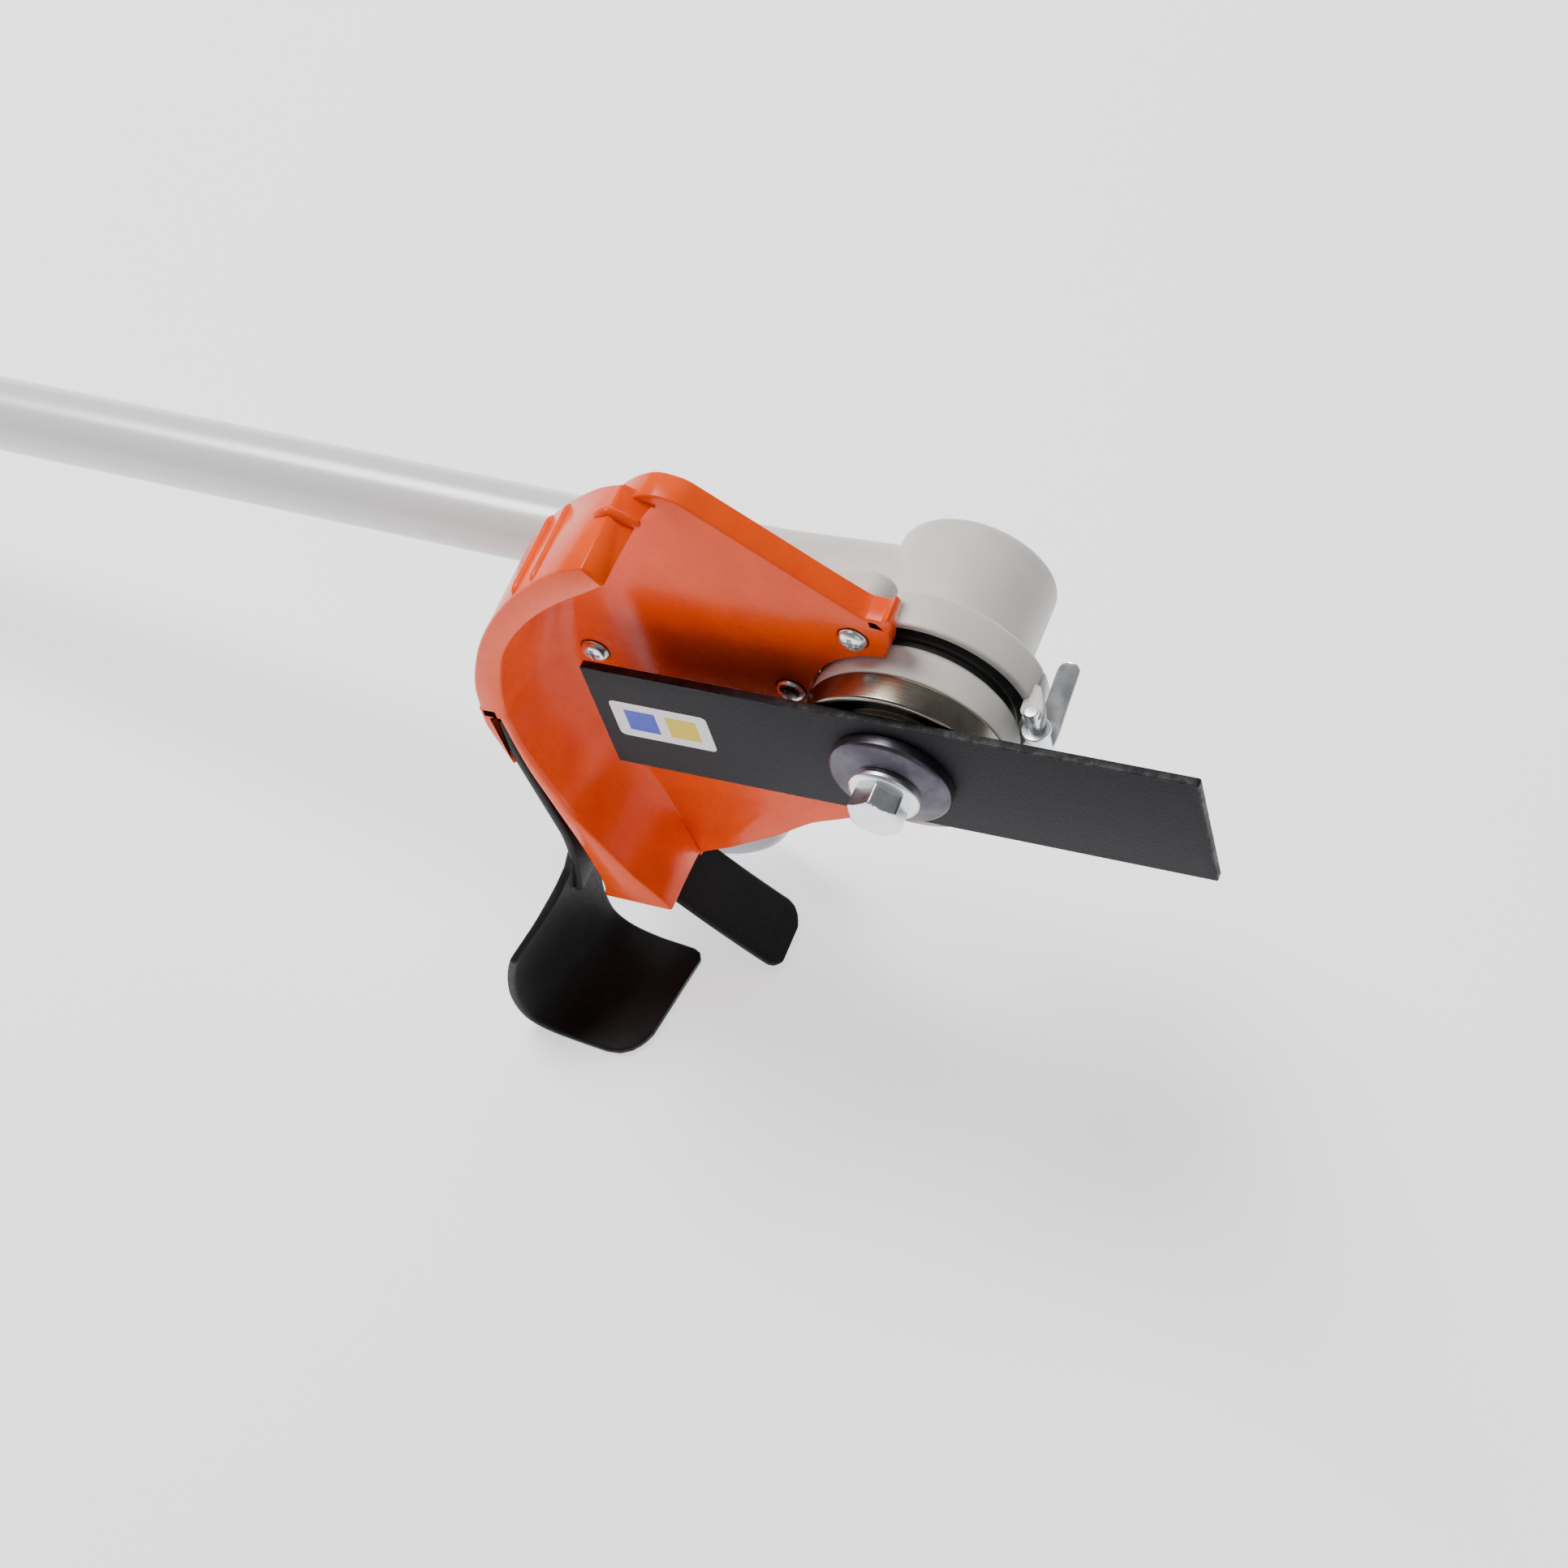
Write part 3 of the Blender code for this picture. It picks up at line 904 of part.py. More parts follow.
def build_swing(swing):
    """What turns with the guard about the gear head: clamp ring, screws, wheel bracket."""
    lug = hull_of_circles([(0, 0, RING_RADIUS), (*RING_SCREWS[0], 7), (*RING_SCREWS[1], 7),
                           (-34, 40, 5)], ROUND)
    clamp = outline_solid("clamp_ring", lug, RING_BACK + 4, RING_FRONT, swing, "cast_paint")
    band = rod("ring_band", RING_RADIUS, RING_FRONT - 2, RING_BACK, swing, None, FINE, helper=True)
    bore = rod("ring_bore", JOURNAL_RADIUS + GAP, RING_FRONT + 2, RING_BACK - 2, swing, None, FINE,
               helper=True)
    relief = rod("ring_relief", COLLAR_RADIUS + 2 * GAP, RING_FRONT + 2, RING_FRONT - RELIEF_DEPTH, swing,
                 None, FINE, helper=True)
    plane = new_empty("lever_axis", swing, (LEVER_ACROSS, 0, LEVER_DEPTH), ((1, 0, 0), (0, 0, -1), (0, 1, 0)))
    ear = outline_solid("ring_ear", hull_of_circles([(0, 0, 4.6), (-4.3, 9, 3.2)]), EAR_LOW,
                        EAR_LOW + 2 * EAR_THICKNESS + EAR_SLIT, plane, helper=True)
    slit = block("ring_slit", (25, EAR_LOW + EAR_THICKNESS, RING_BACK - 2),
                 (50, EAR_LOW + EAR_THICKNESS + EAR_SLIT, LEVER_DEPTH + 8), swing, helper=True)
    hole = rod("ear_hole", LEVER_SHANK + GAP, EAR_LOW + 2 * EAR_THICKNESS + 4, EAR_LOW - 2, plane, None,
               helper=True)
    for piece in (band, ear):
        join(clamp, piece)
    for cutter in (bore, relief, slit, hole):
        cut(clamp, cutter)
    for i, (x, y) in enumerate(RING_SCREWS):
        cut(clamp, rod(f"ring_tapping_{i}", SCREW_RADIUS + GAP, RING_FRONT + 2, RING_BACK - 1, swing, None,
                       place=(x, y, 0), helper=True))
        screw(f"guard_screw_{i + 1}", swing, PLATE_FRONT + GAP, RING_BACK + 4, (x, y, 0))
    lever = turned("clamp_lever", [
        (0, EAR_LOW + 2 * EAR_THICKNESS + 3), (LEVER_SHANK, EAR_LOW + 2 * EAR_THICKNESS + 3),
        (LEVER_SHANK, EAR_LOW - GAP), (4.7, EAR_LOW - GAP), (4.7, EAR_LOW - 1.8), (3.9, EAR_LOW - 1.8),
        (3.9, EAR_LOW - 12.0), (0, EAR_LOW - 12.0)], plane, "bright_zinc")
    wing = swept("lever_wing", [
        [(x + a, y + b, z) for a, b in ((-half, -lift), (half, -lift), (half, lift), (-half, lift))]
        for x, y, z, half, lift in WING], swing, helper=True)
    join(lever, wing)
    wheel_up = floor_height(WHEEL_ACROSS, WHEEL_RADIUS)
    outline_solid("wheel_arm", hull_of_circles([(*ARM_SCREWS[0], 9), (*ARM_SCREWS[1], 9),
                                                      (WHEEL_ACROSS, wheel_up, 10)]),
                        ARM_FRONT - ARM_THICKNESS, ARM_FRONT, swing, "dark_steel",
                        [(p, SCREW_RADIUS + GAP, SMALL) for p in ARM_SCREWS]
                        + [((WHEEL_ACROSS, wheel_up), AXLE_RADIUS + GAP, SMALL)])
    for i, (x, y) in enumerate(ARM_SCREWS):
        screw(f"arm_screw_{i + 1}", swing, PLATE_FRONT + GAP, ARM_FRONT - ARM_THICKNESS - 5, (x, y, 0))
        nut(f"arm_nut_{i + 1}", swing, ARM_FRONT - ARM_THICKNESS - GAP, 4, 4.3, SCREW_RADIUS + GAP,
            (x, y, 0))
    hub = new_empty("wheel_axis", swing, (WHEEL_ACROSS, wheel_up, 0))
    rod("wheel_axle", AXLE_RADIUS, ARM_FRONT - 0.2, WHEEL_BACK - 7, hub, "bright_zinc")
    ring("wheel_spacer", 7.5, AXLE_RADIUS + GAP, ARM_FRONT - ARM_THICKNESS - GAP, WHEEL_FRONT + GAP, hub,
         "bright_zinc")
    nut("wheel_nut", hub, WHEEL_BACK - GAP, 5, 6.5, AXLE_RADIUS + GAP, (0, 0, 0))
    turned("guide_wheel", [
        (AXLE_RADIUS + GAP, WHEEL_FRONT), (9, WHEEL_FRONT), (9, WHEEL_FRONT - 3), (34, WHEEL_FRONT - 5),
        (38, WHEEL_FRONT - 2), (WHEEL_RADIUS - 2, WHEEL_FRONT - 1), (WHEEL_RADIUS, WHEEL_FRONT - 3),
        (WHEEL_RADIUS, WHEEL_BACK + 3), (WHEEL_RADIUS - 2, WHEEL_BACK + 1), (38, WHEEL_BACK + 2),
        (34, WHEEL_BACK + 5), (9, WHEEL_BACK + 3), (9, WHEEL_BACK), (AXLE_RADIUS + GAP, WHEEL_BACK)],
        hub, "pale_nylon", 48)


def nut(name, parent, top, height, radius, hole, place):
    """A hexagonal nut whose upper face is at this height."""
    return outline_solid(name, circle(radius, 6), top - height, top, parent, "bright_zinc",
                         [((0, 0), hole, SMALL)], place=place)


def build():
    """Empties carry the frames. Pieces that turn together hang from the empty on their axis."""
    tool = new_empty("tool_frame", None, (BLADE_AXIS_X, BLADE_AXIS_Y, AXIS_HEIGHT),
                     ((math.cos(PITCH), 0, math.sin(PITCH)), (-math.sin(PITCH), 0, math.cos(PITCH)),
                      (0, -1, 0)))
    tube = new_empty("tube_frame", tool, (0, 0, APEX_DEPTH),
                     ((-math.sin(TUBE_RISE), -math.cos(TUBE_RISE), 0), (0, 0, 1),
                      (-math.cos(TUBE_RISE), math.sin(TUBE_RISE), 0)))
    spin = new_empty("blade_axis", tool)
    swing = new_empty("guard_axis", tool)
    build_case(tool, tube)
    build_housing(tool)
    build_output(spin)
    build_gears(spin, tube)
    build_drive(tube)
    build_guard(swing)
    build_flap(swing)
    build_swing(swing)


clear_scene()
PARTS = new_collection("edger_attachment")
HELPERS = new_collection("helpers")
HELPERS.hide_render = True
build()
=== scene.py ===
"""Looks of the edger attachment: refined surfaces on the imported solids, finishes, light and camera.

Points are given in millimetres in the tool frame: x along the blade, y across it, z along its axis.
"""

import json
import math

import bmesh
import bpy
import numpy as np
from mathutils import Matrix, Vector

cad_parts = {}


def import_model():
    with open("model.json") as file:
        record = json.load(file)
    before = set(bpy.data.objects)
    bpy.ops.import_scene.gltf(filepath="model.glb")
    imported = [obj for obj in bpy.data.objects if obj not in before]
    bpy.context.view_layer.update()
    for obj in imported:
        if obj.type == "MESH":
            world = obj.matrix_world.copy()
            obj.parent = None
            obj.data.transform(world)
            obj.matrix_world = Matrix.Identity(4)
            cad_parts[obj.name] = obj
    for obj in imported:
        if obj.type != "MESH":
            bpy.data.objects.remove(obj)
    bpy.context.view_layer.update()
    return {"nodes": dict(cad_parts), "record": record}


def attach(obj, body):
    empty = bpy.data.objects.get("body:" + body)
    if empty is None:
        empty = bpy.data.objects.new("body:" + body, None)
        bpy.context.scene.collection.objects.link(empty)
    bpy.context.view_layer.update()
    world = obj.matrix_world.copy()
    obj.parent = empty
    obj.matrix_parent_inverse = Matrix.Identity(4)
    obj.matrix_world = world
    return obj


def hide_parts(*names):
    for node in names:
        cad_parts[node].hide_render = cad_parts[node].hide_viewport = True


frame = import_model()

PITCH = math.radians(13.2)
RISE = math.radians(2.9)
AXIS_HEIGHT = 172.0
ORIGIN = np.array([387.8, -19.9, AXIS_HEIGHT])
APEX = -62.4
SHEET_HALF = 1.5  # half the flap's thickness
TUBE_END = 892.48
TUBE_RADIUS = 12.7
BLADE_HALF = (101.6, 25.4)
RING_SCREWS = ((-11.4, 42.1), (-39.7, 7.9))
ARM_SCREWS = ((-108.1, 9.2), (-97.0, -46.0))
TOOL = np.array([[math.cos(PITCH), -math.sin(PITCH), 0], [0, 0, -1], [math.sin(PITCH), math.cos(PITCH), 0]])
TUBE = np.array([[-math.sin(RISE), 0, -math.cos(RISE)], [-math.cos(RISE), 0, math.sin(RISE)], [0, 1, 0]])

# ---------------------------------------------------------------- shapes


def world(points):
    """Tool frame millimetres to the object's metres."""
    return (np.asarray(points, float) @ TOOL.T + ORIGIN) / 1000


def tube_points(points):
    """Tube frame (z along the tube from the gears' apex) to the tool frame."""
    return np.asarray(points, float) @ TUBE.T + np.array([0, 0, APEX])


def strip(n, m, close_n, close_m):
    """Quads of an n by m grid of points, in rows, closed on itself where asked."""
    i = np.arange(n if close_n else n - 1)[:, None]
    j = np.arange(m if close_m else m - 1)[None, :]
    a, b = (i + 1) % n * m, i * m
    c, d = j, (j + 1) % m
    return np.stack([b + c, b + d, a + d, a + c], -1).reshape(-1, 4)


class Shape:
    """Gathers points and faces of one piece, then makes its mesh."""

    def __init__(self):
        self.points, self.faces, self.count = [], [], 0

    def grid(self, rows, close_rows=False, close_cols=True, caps=False):
        """Adds a grid of points. Caps fill the first and last row."""
        rows = np.asarray(rows, float)
        n, m = rows.shape[:2]
        self.points.append(rows.reshape(-1, 3))
        self.faces += (strip(n, m, close_rows, close_cols) + self.count).tolist()
        if caps:
            self.faces.append((np.arange(m)[::-1] + self.count).tolist())
            self.faces.append((np.arange(m) + (n - 1) * m + self.count).tolist())
        self.count += n * m
        return self

    def make(self, name, look, nodes, angle=38):
        """The finished piece, which rides on its node's body and stands in for the node."""
        mesh = bpy.data.meshes.new(name)
        mesh.from_pydata(world(np.concatenate(self.points)).tolist(), [], self.faces)
        mesh.validate()
        made = bpy.data.objects.new(name, mesh)
        bpy.context.scene.collection.objects.link(made)
        tidy(made, angle)
        made.data.materials.append(look)
        nodes = [nodes] if isinstance(nodes, str) else nodes
        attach(made, BODY[nodes[0]])
        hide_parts(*nodes)
        return made


def tidy(made, angle):
    """Turns the faces outwards and sets smooth shading with sharp edges."""
    shape = bmesh.new()
    shape.from_mesh(made.data)
    bmesh.ops.remove_doubles(shape, verts=shape.verts, dist=1e-6)
    bmesh.ops.recalc_face_normals(shape, faces=shape.faces)
    shape.to_mesh(made.data)
    shape.free()
    made.data.shade_smooth()
    made.data.set_sharp_from_angle(angle=math.radians(angle))


def fillet(corners, closed=False, steps=5):
    """A line through corners (a, b, radius) with each corner rounded by an arc-like curve."""
    found = []
    last = len(corners)
    for k, (a, b, radius) in enumerate(corners):
        here = np.array([a, b], float)
        if radius <= 0 or (not closed and k in (0, last - 1)):
            found.append(here)
            continue
        before = np.array(corners[k - 1][:2], float) - here
        after = np.array(corners[(k + 1) % last][:2], float) - here
        reach = min(radius, np.hypot(*before) * 0.48, np.hypot(*after) * 0.48)
        p = here + before / np.hypot(*before) * reach
        q = here + after / np.hypot(*after) * reach
        for i in range(steps + 1):
            t = i / steps
            found.append(p * (1 - t) ** 2 + here * 2 * t * (1 - t) + q * t * t)
    return np.array(found)


def turned(profile, steps=144, centre=(0, 0), frame_of=None, start=0.0, sweep=2 * math.pi):
    """Rows of a turned surface: each profile point (radius, depth) goes round the z axis."""
    profile = np.asarray(profile, float)
    full = sweep > 2 * math.pi - 1e-6
    angles = start + sweep * np.arange(steps) / (steps if full else steps - 1)
    x = profile[:, :1] * np.cos(angles) + centre[0]
    y = profile[:, :1] * np.sin(angles) + centre[1]
    rows = np.stack([x, y, np.repeat(profile[:, 1:2], steps, 1)], -1)
    return rows if frame_of is None else frame_of(rows)


def smooth(points, count):
    """Evenly spaced points on a Catmull-Rom curve through the given points."""
    p = np.asarray(points, float)
    row = np.vstack([2 * p[0] - p[1], p, 2 * p[-1] - p[-2]])
    t = (np.arange(24) / 24)[:, None]
    fine = [0.5 * (2 * b + (c - a) * t + (2 * a - 5 * b + 4 * c - d) * t * t
                   + (3 * b - a - 3 * c + d) * t ** 3)
            for a, b, c, d in zip(row, row[1:], row[2:], row[3:])]
    fine = np.vstack([*fine, p[-1:]])
    far = np.concatenate([[0], np.cumsum(np.linalg.norm(np.diff(fine, axis=0), axis=1))])
    want = np.linspace(0, far[-1], count)
    return np.stack([np.interp(want, far, fine[:, k]) for k in range(fine.shape[1])], 1)


def even(outline, step):
    """A closed outline with extra points so that none are further apart than the step."""
    found = []
    for a, b in zip(outline, np.roll(outline, -1, 0)):
        n = max(1, int(math.ceil(np.hypot(*(b - a)) / step)))
        found += [a + (b - a) * i / n for i in range(n)]
    return np.array(found)


def inset(outline, distance):
    """A closed counter-clockwise outline moved inwards along its points' normals."""
    a = outline - np.roll(outline, 1, 0)
    b = np.roll(outline, -1, 0) - outline
    n = np.stack([-(a / np.hypot(*a.T)[:, None])[:, 1] - (b / np.hypot(*b.T)[:, None])[:, 1],
                  (a / np.hypot(*a.T)[:, None])[:, 0] + (b / np.hypot(*b.T)[:, None])[:, 0]], 1)
    scale = distance / np.maximum(0.5, (n * n).sum(1) / 2)
    return outline + n * scale[:, None]


def slab(outline, low, high, edge=0.6, steps=3):
    """Rows of a flat plate with rounded edges: the outline rises from low to high, drawn in by the
    edge's radius at both ends."""
    rows = []
    for k in range(steps + 1):
        a = math.pi / 2 * k / steps
        rows.append((edge * (1 - math.sin(a)), low + edge * (1 - math.cos(a))))
    rows += [(d, low + high - z) for d, z in rows[::-1]]
    return np.array([np.column_stack([inset(outline, d), np.full(len(outline), z)]) for d, z in rows])


def arc(radius, centre=(0, 0), start=0.0, sweep=2 * math.pi, steps=96):
    """Points on an arc of a circle."""
    full = abs(sweep) > 2 * math.pi - 1e-6
    a = start + sweep * np.arange(steps) / (steps if full else steps - 1)
    return np.column_stack([centre[0] + radius * np.cos(a), centre[1] + radius * np.sin(a)])


def hull(circles):
    """Outline of a plate that wraps round discs (x, y, radius), counter-clockwise."""
    points = np.vstack([arc(r, (x, y), steps=72) for x, y, r in circles])
    points = points[np.lexsort((points[:, 1], points[:, 0]))].tolist()

    def half(row):
        chain = []
        for x, y in row:
            while len(chain) > 1:
                (ax, ay), (bx, by) = chain[-2:]
                if (bx - ax) * (y - ay) - (by - ay) * (x - ax) > 1e-9:
                    break
                chain.pop()
            chain.append((x, y))
        return chain[:-1]

    return np.array(half(points) + half(points[::-1]))


# ---------------------------------------------------------------- finishes


class Value:
    """A shader socket with arithmetic. Numbers and sockets mix freely."""

    def __init__(self, tree, socket):
        self.tree, self.socket = tree, socket

    def node(self, kind, inputs=None, out=0, **settings):
        """Any other node: its inputs by name or number, and which output to return."""
        made = self.tree.nodes.new(kind)
        for key, value in settings.items():
            setattr(made, key, value)
        for key, value in (inputs or {}).items():
            if isinstance(value, Value):
                self.tree.links.new(value.socket, made.inputs[key])
            else:
                made.inputs[key].default_value = value
        return Value(self.tree, made.outputs[out])

    def math(self, operation, a, b=0.0, clamp=False):
        return self.node("ShaderNodeMath", {0: a, 1: b}, operation=operation, use_clamp=clamp)

    def __add__(self, other):
        return self.math("ADD", self, other)

    def __radd__(self, other):
        return self.math("ADD", self, other)

    def __sub__(self, other):
        return self.math("SUBTRACT", self, other)

    def __rsub__(self, other):
        return self.math("SUBTRACT", other, self)

    def __mul__(self, other):
        return self.math("MULTIPLY", self, other)

    def __rmul__(self, other):
        return self.math("MULTIPLY", self, other)

    def __gt__(self, other):
        return self.math("GREATER_THAN", self, other)

    def __lt__(self, other):
        return self.math("LESS_THAN", self, other)

    def abs(self):
        return self.math("ABSOLUTE", self)

    def root(self):
        return self.math("SQRT", self)

    def smaller(self, other):
        return self.math("MINIMUM", self, other)

    def larger(self, other):
        return self.math("MAXIMUM", self, other)

    def ramp(self, low, high, to_low=0.0, to_high=1.0):
        """Smoothly from one value to another as this goes from low to high."""
        return self.node("ShaderNodeMapRange", {0: self, 1: low, 2: high, 3: to_low, 4: to_high},
                         interpolation_type="SMOOTHSTEP")

    def blend(self, a, b):
        """A colour: a where this is 0, b where it is 1."""
        return self.node("ShaderNodeMix", {0: self, 6: a, 7: b}, out=2, data_type="RGBA")

    def noise(self, vector, scale, detail=4.0, rough=0.55):
        return self.node("ShaderNodeTexNoise", {"Vector": vector, "Scale": scale, "Detail": detail,
                                                "Roughness": rough})

    def vector(self, x, y, z):
        return self.node("ShaderNodeCombineXYZ", {0: x, 1: y, 2: z})


def rgb(r, g, b):
    """An opaque colour."""
    return (r, g, b, 1.0)


def finish(name, build, **constants):
    """A Principled material. build(v, tool) returns what varies, by input, with height and bump size."""
    made = bpy.data.materials.new(name)
    made.use_nodes = True
    tree = made.node_tree
    shader = tree.nodes["Principled BSDF"]
    v = Value(tree, tree.nodes.new("ShaderNodeTexCoord").outputs["Object"])
    split = tree.nodes.new("ShaderNodeSeparateXYZ")
    tree.links.new(v.socket, split.inputs[0])
    x, y, z = (Value(tree, out) * 1000 - float(o) for out, o in zip(split.outputs, ORIGIN))
    c, s = math.cos(PITCH), math.sin(PITCH)
    tool = (x * c + z * s, z * c - x * s, y * -1)
    varied = build(v, tool)
    height = varied.pop("height", None)
    size = varied.pop("bump", 0.1)
    for key, value in constants.items():
        shader.inputs[key.replace("_", " ")].default_value = value
    for key, value in varied.items():
        if isinstance(value, Value):
            tree.links.new(value.socket, shader.inputs[key])
        else:
            shader.inputs[key].default_value = value
    if height is not None:
        bump = v.node("ShaderNodeBump", {"Height": height, "Distance": 0.001, "Strength": size})
        tree.links.new(bump.socket, shader.inputs["Normal"])
    return made


def orange(v, tool):
    """Glossy moulding: a little mottling, faint ripple, dust caught at the crease, and painted shade in a
    dark ring round each screw head.
    """
    mottle = v.noise(v, 60, 3)
    ripple = v.noise(v, 260, 2)
    dust = v.noise(v, 900, 2, 0.7).ramp(0.60, 0.75)
    x, y, z = tool
    near = 99.0
    for sx, sy in RING_SCREWS + ARM_SCREWS:
        dx, dy = x - sx, y - sy
        near = (dx * dx + dy * dy).root().smaller(near)
    # painted shade: a dark ring round each screw head on the plate's front stands in for the shadow in its
    # recessed hole
    painted_recess_shade = near.ramp(5.6, 5.0) * (z > -18.6)
    base = mottle.ramp(0.3, 0.7).blend(rgb(0.88, 0.064, 0.0), rgb(0.96, 0.084, 0.0))
    base = (painted_recess_shade * 0.85).blend(base, rgb(0.10, 0.012, 0.002))
    return {"Base Color": (dust * 0.10).blend(base, rgb(0.95, 0.35, 0.15)),
            "Roughness": v.noise(v, 35, 3).ramp(0.3, 0.7, 0.19, 0.29) + dust * 0.12,
            "height": ripple, "bump": 0.10}


def blade_paint(v, tool):
    """Matt black steel, lighter on worn edges and fine scratches, with a plain coloured label."""
    x, y, z = tool
    grain = v.noise(v, 700, 3, 0.7)
    streak = v.noise(v.vector(x * 0.02, y * 0.9, z * 0.9), 1.6, 5, 0.7).ramp(0.62, 0.75)
    rim = (BLADE_HALF[0] - x.abs()).smaller(BLADE_HALF[1] - y.abs())
    worn = rim.ramp(0.9, 0.25) * v.noise(v, 240, 4, 0.7).ramp(0.42, 0.62)
    base = grain.ramp(0.3, 0.7).blend(rgb(0.008, 0.008, 0.010), rgb(0.014, 0.014, 0.018))
    base = (worn * 0.05 + streak * 0.03).blend(base, rgb(0.36, 0.35, 0.34))
    lx, ly = x + 79.0, y - 0.5
    corner = (((lx.abs() - 15.0).larger(0.0) * (lx.abs() - 15.0).larger(0.0))
              + ((ly.abs() - 7.2).larger(0.0) * (ly.abs() - 7.2).larger(0.0))).root()
    on = (corner < 2.0) * (z > -0.6)
    blue = ((lx + 7.2).abs() < 5.4) * (ly.abs() < 5.4)
    yellow = ((lx - 7.2).abs() < 5.4) * (ly.abs() < 5.4)
    face = blue.blend(rgb(0.86, 0.86, 0.86), rgb(0.05, 0.09, 0.55))
    face = yellow.blend(face, rgb(0.80, 0.60, 0.05))
    return {"Base Color": on.blend(base, face),
            "Roughness": on.ramp(0, 1, 0.52, 0.3) + grain * 0.1 - worn * 0.12,
            "Metallic": worn * 0.2, "height": grain, "bump": 0.22}


def casting(v, tool):
    """Light painted casting with a fine sandy skin; painted shade makes the slot between the collar and the
    clamp ring near black.
    """
    sand = v.noise(v, 1500, 3, 0.7)
    stain = v.noise(v, 45, 4)
    x, y, z = tool
    far = (x * x + y * y).root()
    # painted shade: the casting turns near black inside the slot between the collar and the clamp ring, where
    # shade falls
    painted_slot_shade = far.ramp(33.95, 33.75) * z.ramp(-26.2, -27.4) * z.ramp(-37.6, -36.8)
    paint = stain.ramp(0.35, 0.7).blend(rgb(0.72, 0.70, 0.655), rgb(0.66, 0.635, 0.585))
    return {"Base Color": (painted_slot_shade * 0.96).blend(paint, rgb(0.015, 0.015, 0.017)),
            "Roughness": sand.ramp(0.3, 0.7, 0.40, 0.52), "height": sand + v.noise(v, 300, 2) * 0.6,
            "bump": 0.16}


def zinc(v, tool):
    """Bright zinc with cloudy passivation."""
    cloud = v.noise(v, 140, 3, 0.5)
    return {"Base Color": cloud.ramp(0.3, 0.7).blend(rgb(0.74, 0.78, 0.82), rgb(0.86, 0.88, 0.90)),
            "Roughness": cloud.ramp(0.3, 0.7, 0.24, 0.34), "height": v.noise(v, 1200, 2), "bump": 0.03}


def lathe_steel(v, tool):
    """Turned steel: fine rings across the rim and bands of warm reflection."""
    x, y, z = tool
    far = (x * x + y * y).root()
    lines = v.noise(v.vector(far * 0.05, z * 9.0, far * 6.0), 1.0, 3, 0.7)
    polish = v.noise(v, 90, 3)
    return {"Base Color": polish.ramp(0.3, 0.7).blend(rgb(0.20, 0.172, 0.135), rgb(0.30, 0.27, 0.225)),
            "Roughness": lines.ramp(0.25, 0.75, 0.20, 0.30), "height": lines, "bump": 0.015}


def oxide(v, tool):
    """Dark oxide steel with turning marks."""
    x, y, z = tool
    far = (x * x + y * y).root()
    lines = v.noise(v.vector(far * 4.0, 0.0, 0.0), 1.0, 3, 0.7)
    return {"Base Color": v.noise(v, 120, 4).ramp(0.3, 0.7).blend(rgb(0.055, 0.050, 0.066),
                                                                  rgb(0.10, 0.092, 0.112)),
            "Roughness": lines.ramp(0.25, 0.75, 0.26, 0.42), "height": lines, "bump": 0.05}


def bare_steel(v, tool):
    """Machined steel with a film of oil."""
    oil = v.noise(v, 80, 4)
    return {"Base Color": oil.ramp(0.3, 0.7).blend(rgb(0.34, 0.34, 0.36), rgb(0.48, 0.47, 0.46)),
            "Roughness": oil.ramp(0.3, 0.7, 0.22, 0.42), "height": v.noise(v, 1400, 3), "bump": 0.08}


def tube_paint(v, tool):
    """Satin white tube with faint scuffs along it."""
    scuff = v.noise(v, 30, 5, 0.65).ramp(0.6, 0.75)
    return {"Base Color": (scuff * 0.25).blend(rgb(0.84, 0.85, 0.86), rgb(0.62, 0.62, 0.62)),
            "Roughness": scuff.ramp(0, 1, 0.30, 0.44), "height": v.noise(v, 500, 3), "bump": 0.05}


def rubber(v, tool):
    """Black rubber: cloth-like grain and a trace of grey dust."""
    dust = v.noise(v, 70, 5, 0.65).ramp(0.5, 0.75)
    grain = v.noise(v, 1300, 3, 0.7)
    return {"Base Color": (dust * 0.2).blend(rgb(0.004, 0.004, 0.005), rgb(0.03, 0.029, 0.028)),
            "Roughness": grain.ramp(0.3, 0.7, 0.48, 0.66), "height": grain, "bump": 0.2}


def nylon(v, tool):
    """Black nylon with a fine grain."""
    grain = v.noise(v, 1100, 3, 0.7)
    return {"Base Color": v.noise(v, 60, 3).ramp(0.3, 0.7).blend(rgb(0.025, 0.025, 0.026),
                                                                 rgb(0.04, 0.04, 0.041)),
            "Roughness": grain.ramp(0.3, 0.7, 0.40, 0.55), "height": grain, "bump": 0.12}


def pale_wheel(v, tool):
    """Pale moulded wheel with scuffs on the tread."""
    scuff = v.noise(v, 150, 5, 0.65).ramp(0.55, 0.72)
    return {"Base Color": (scuff * 0.4).blend(rgb(0.70, 0.70, 0.76), rgb(0.45, 0.45, 0.47)),
            "Roughness": scuff.ramp(0, 1, 0.42, 0.6), "height": v.noise(v, 900, 3), "bump": 0.12}


def cloth(v, tool):
    """Plain pale floor with very soft unevenness."""
    return {"Base Color": v.noise(v, 3, 3).ramp(0.35, 0.65).blend(rgb(0.92, 0.92, 0.93),
                                                                  rgb(0.94, 0.94, 0.95)),
            "Roughness": 0.85}


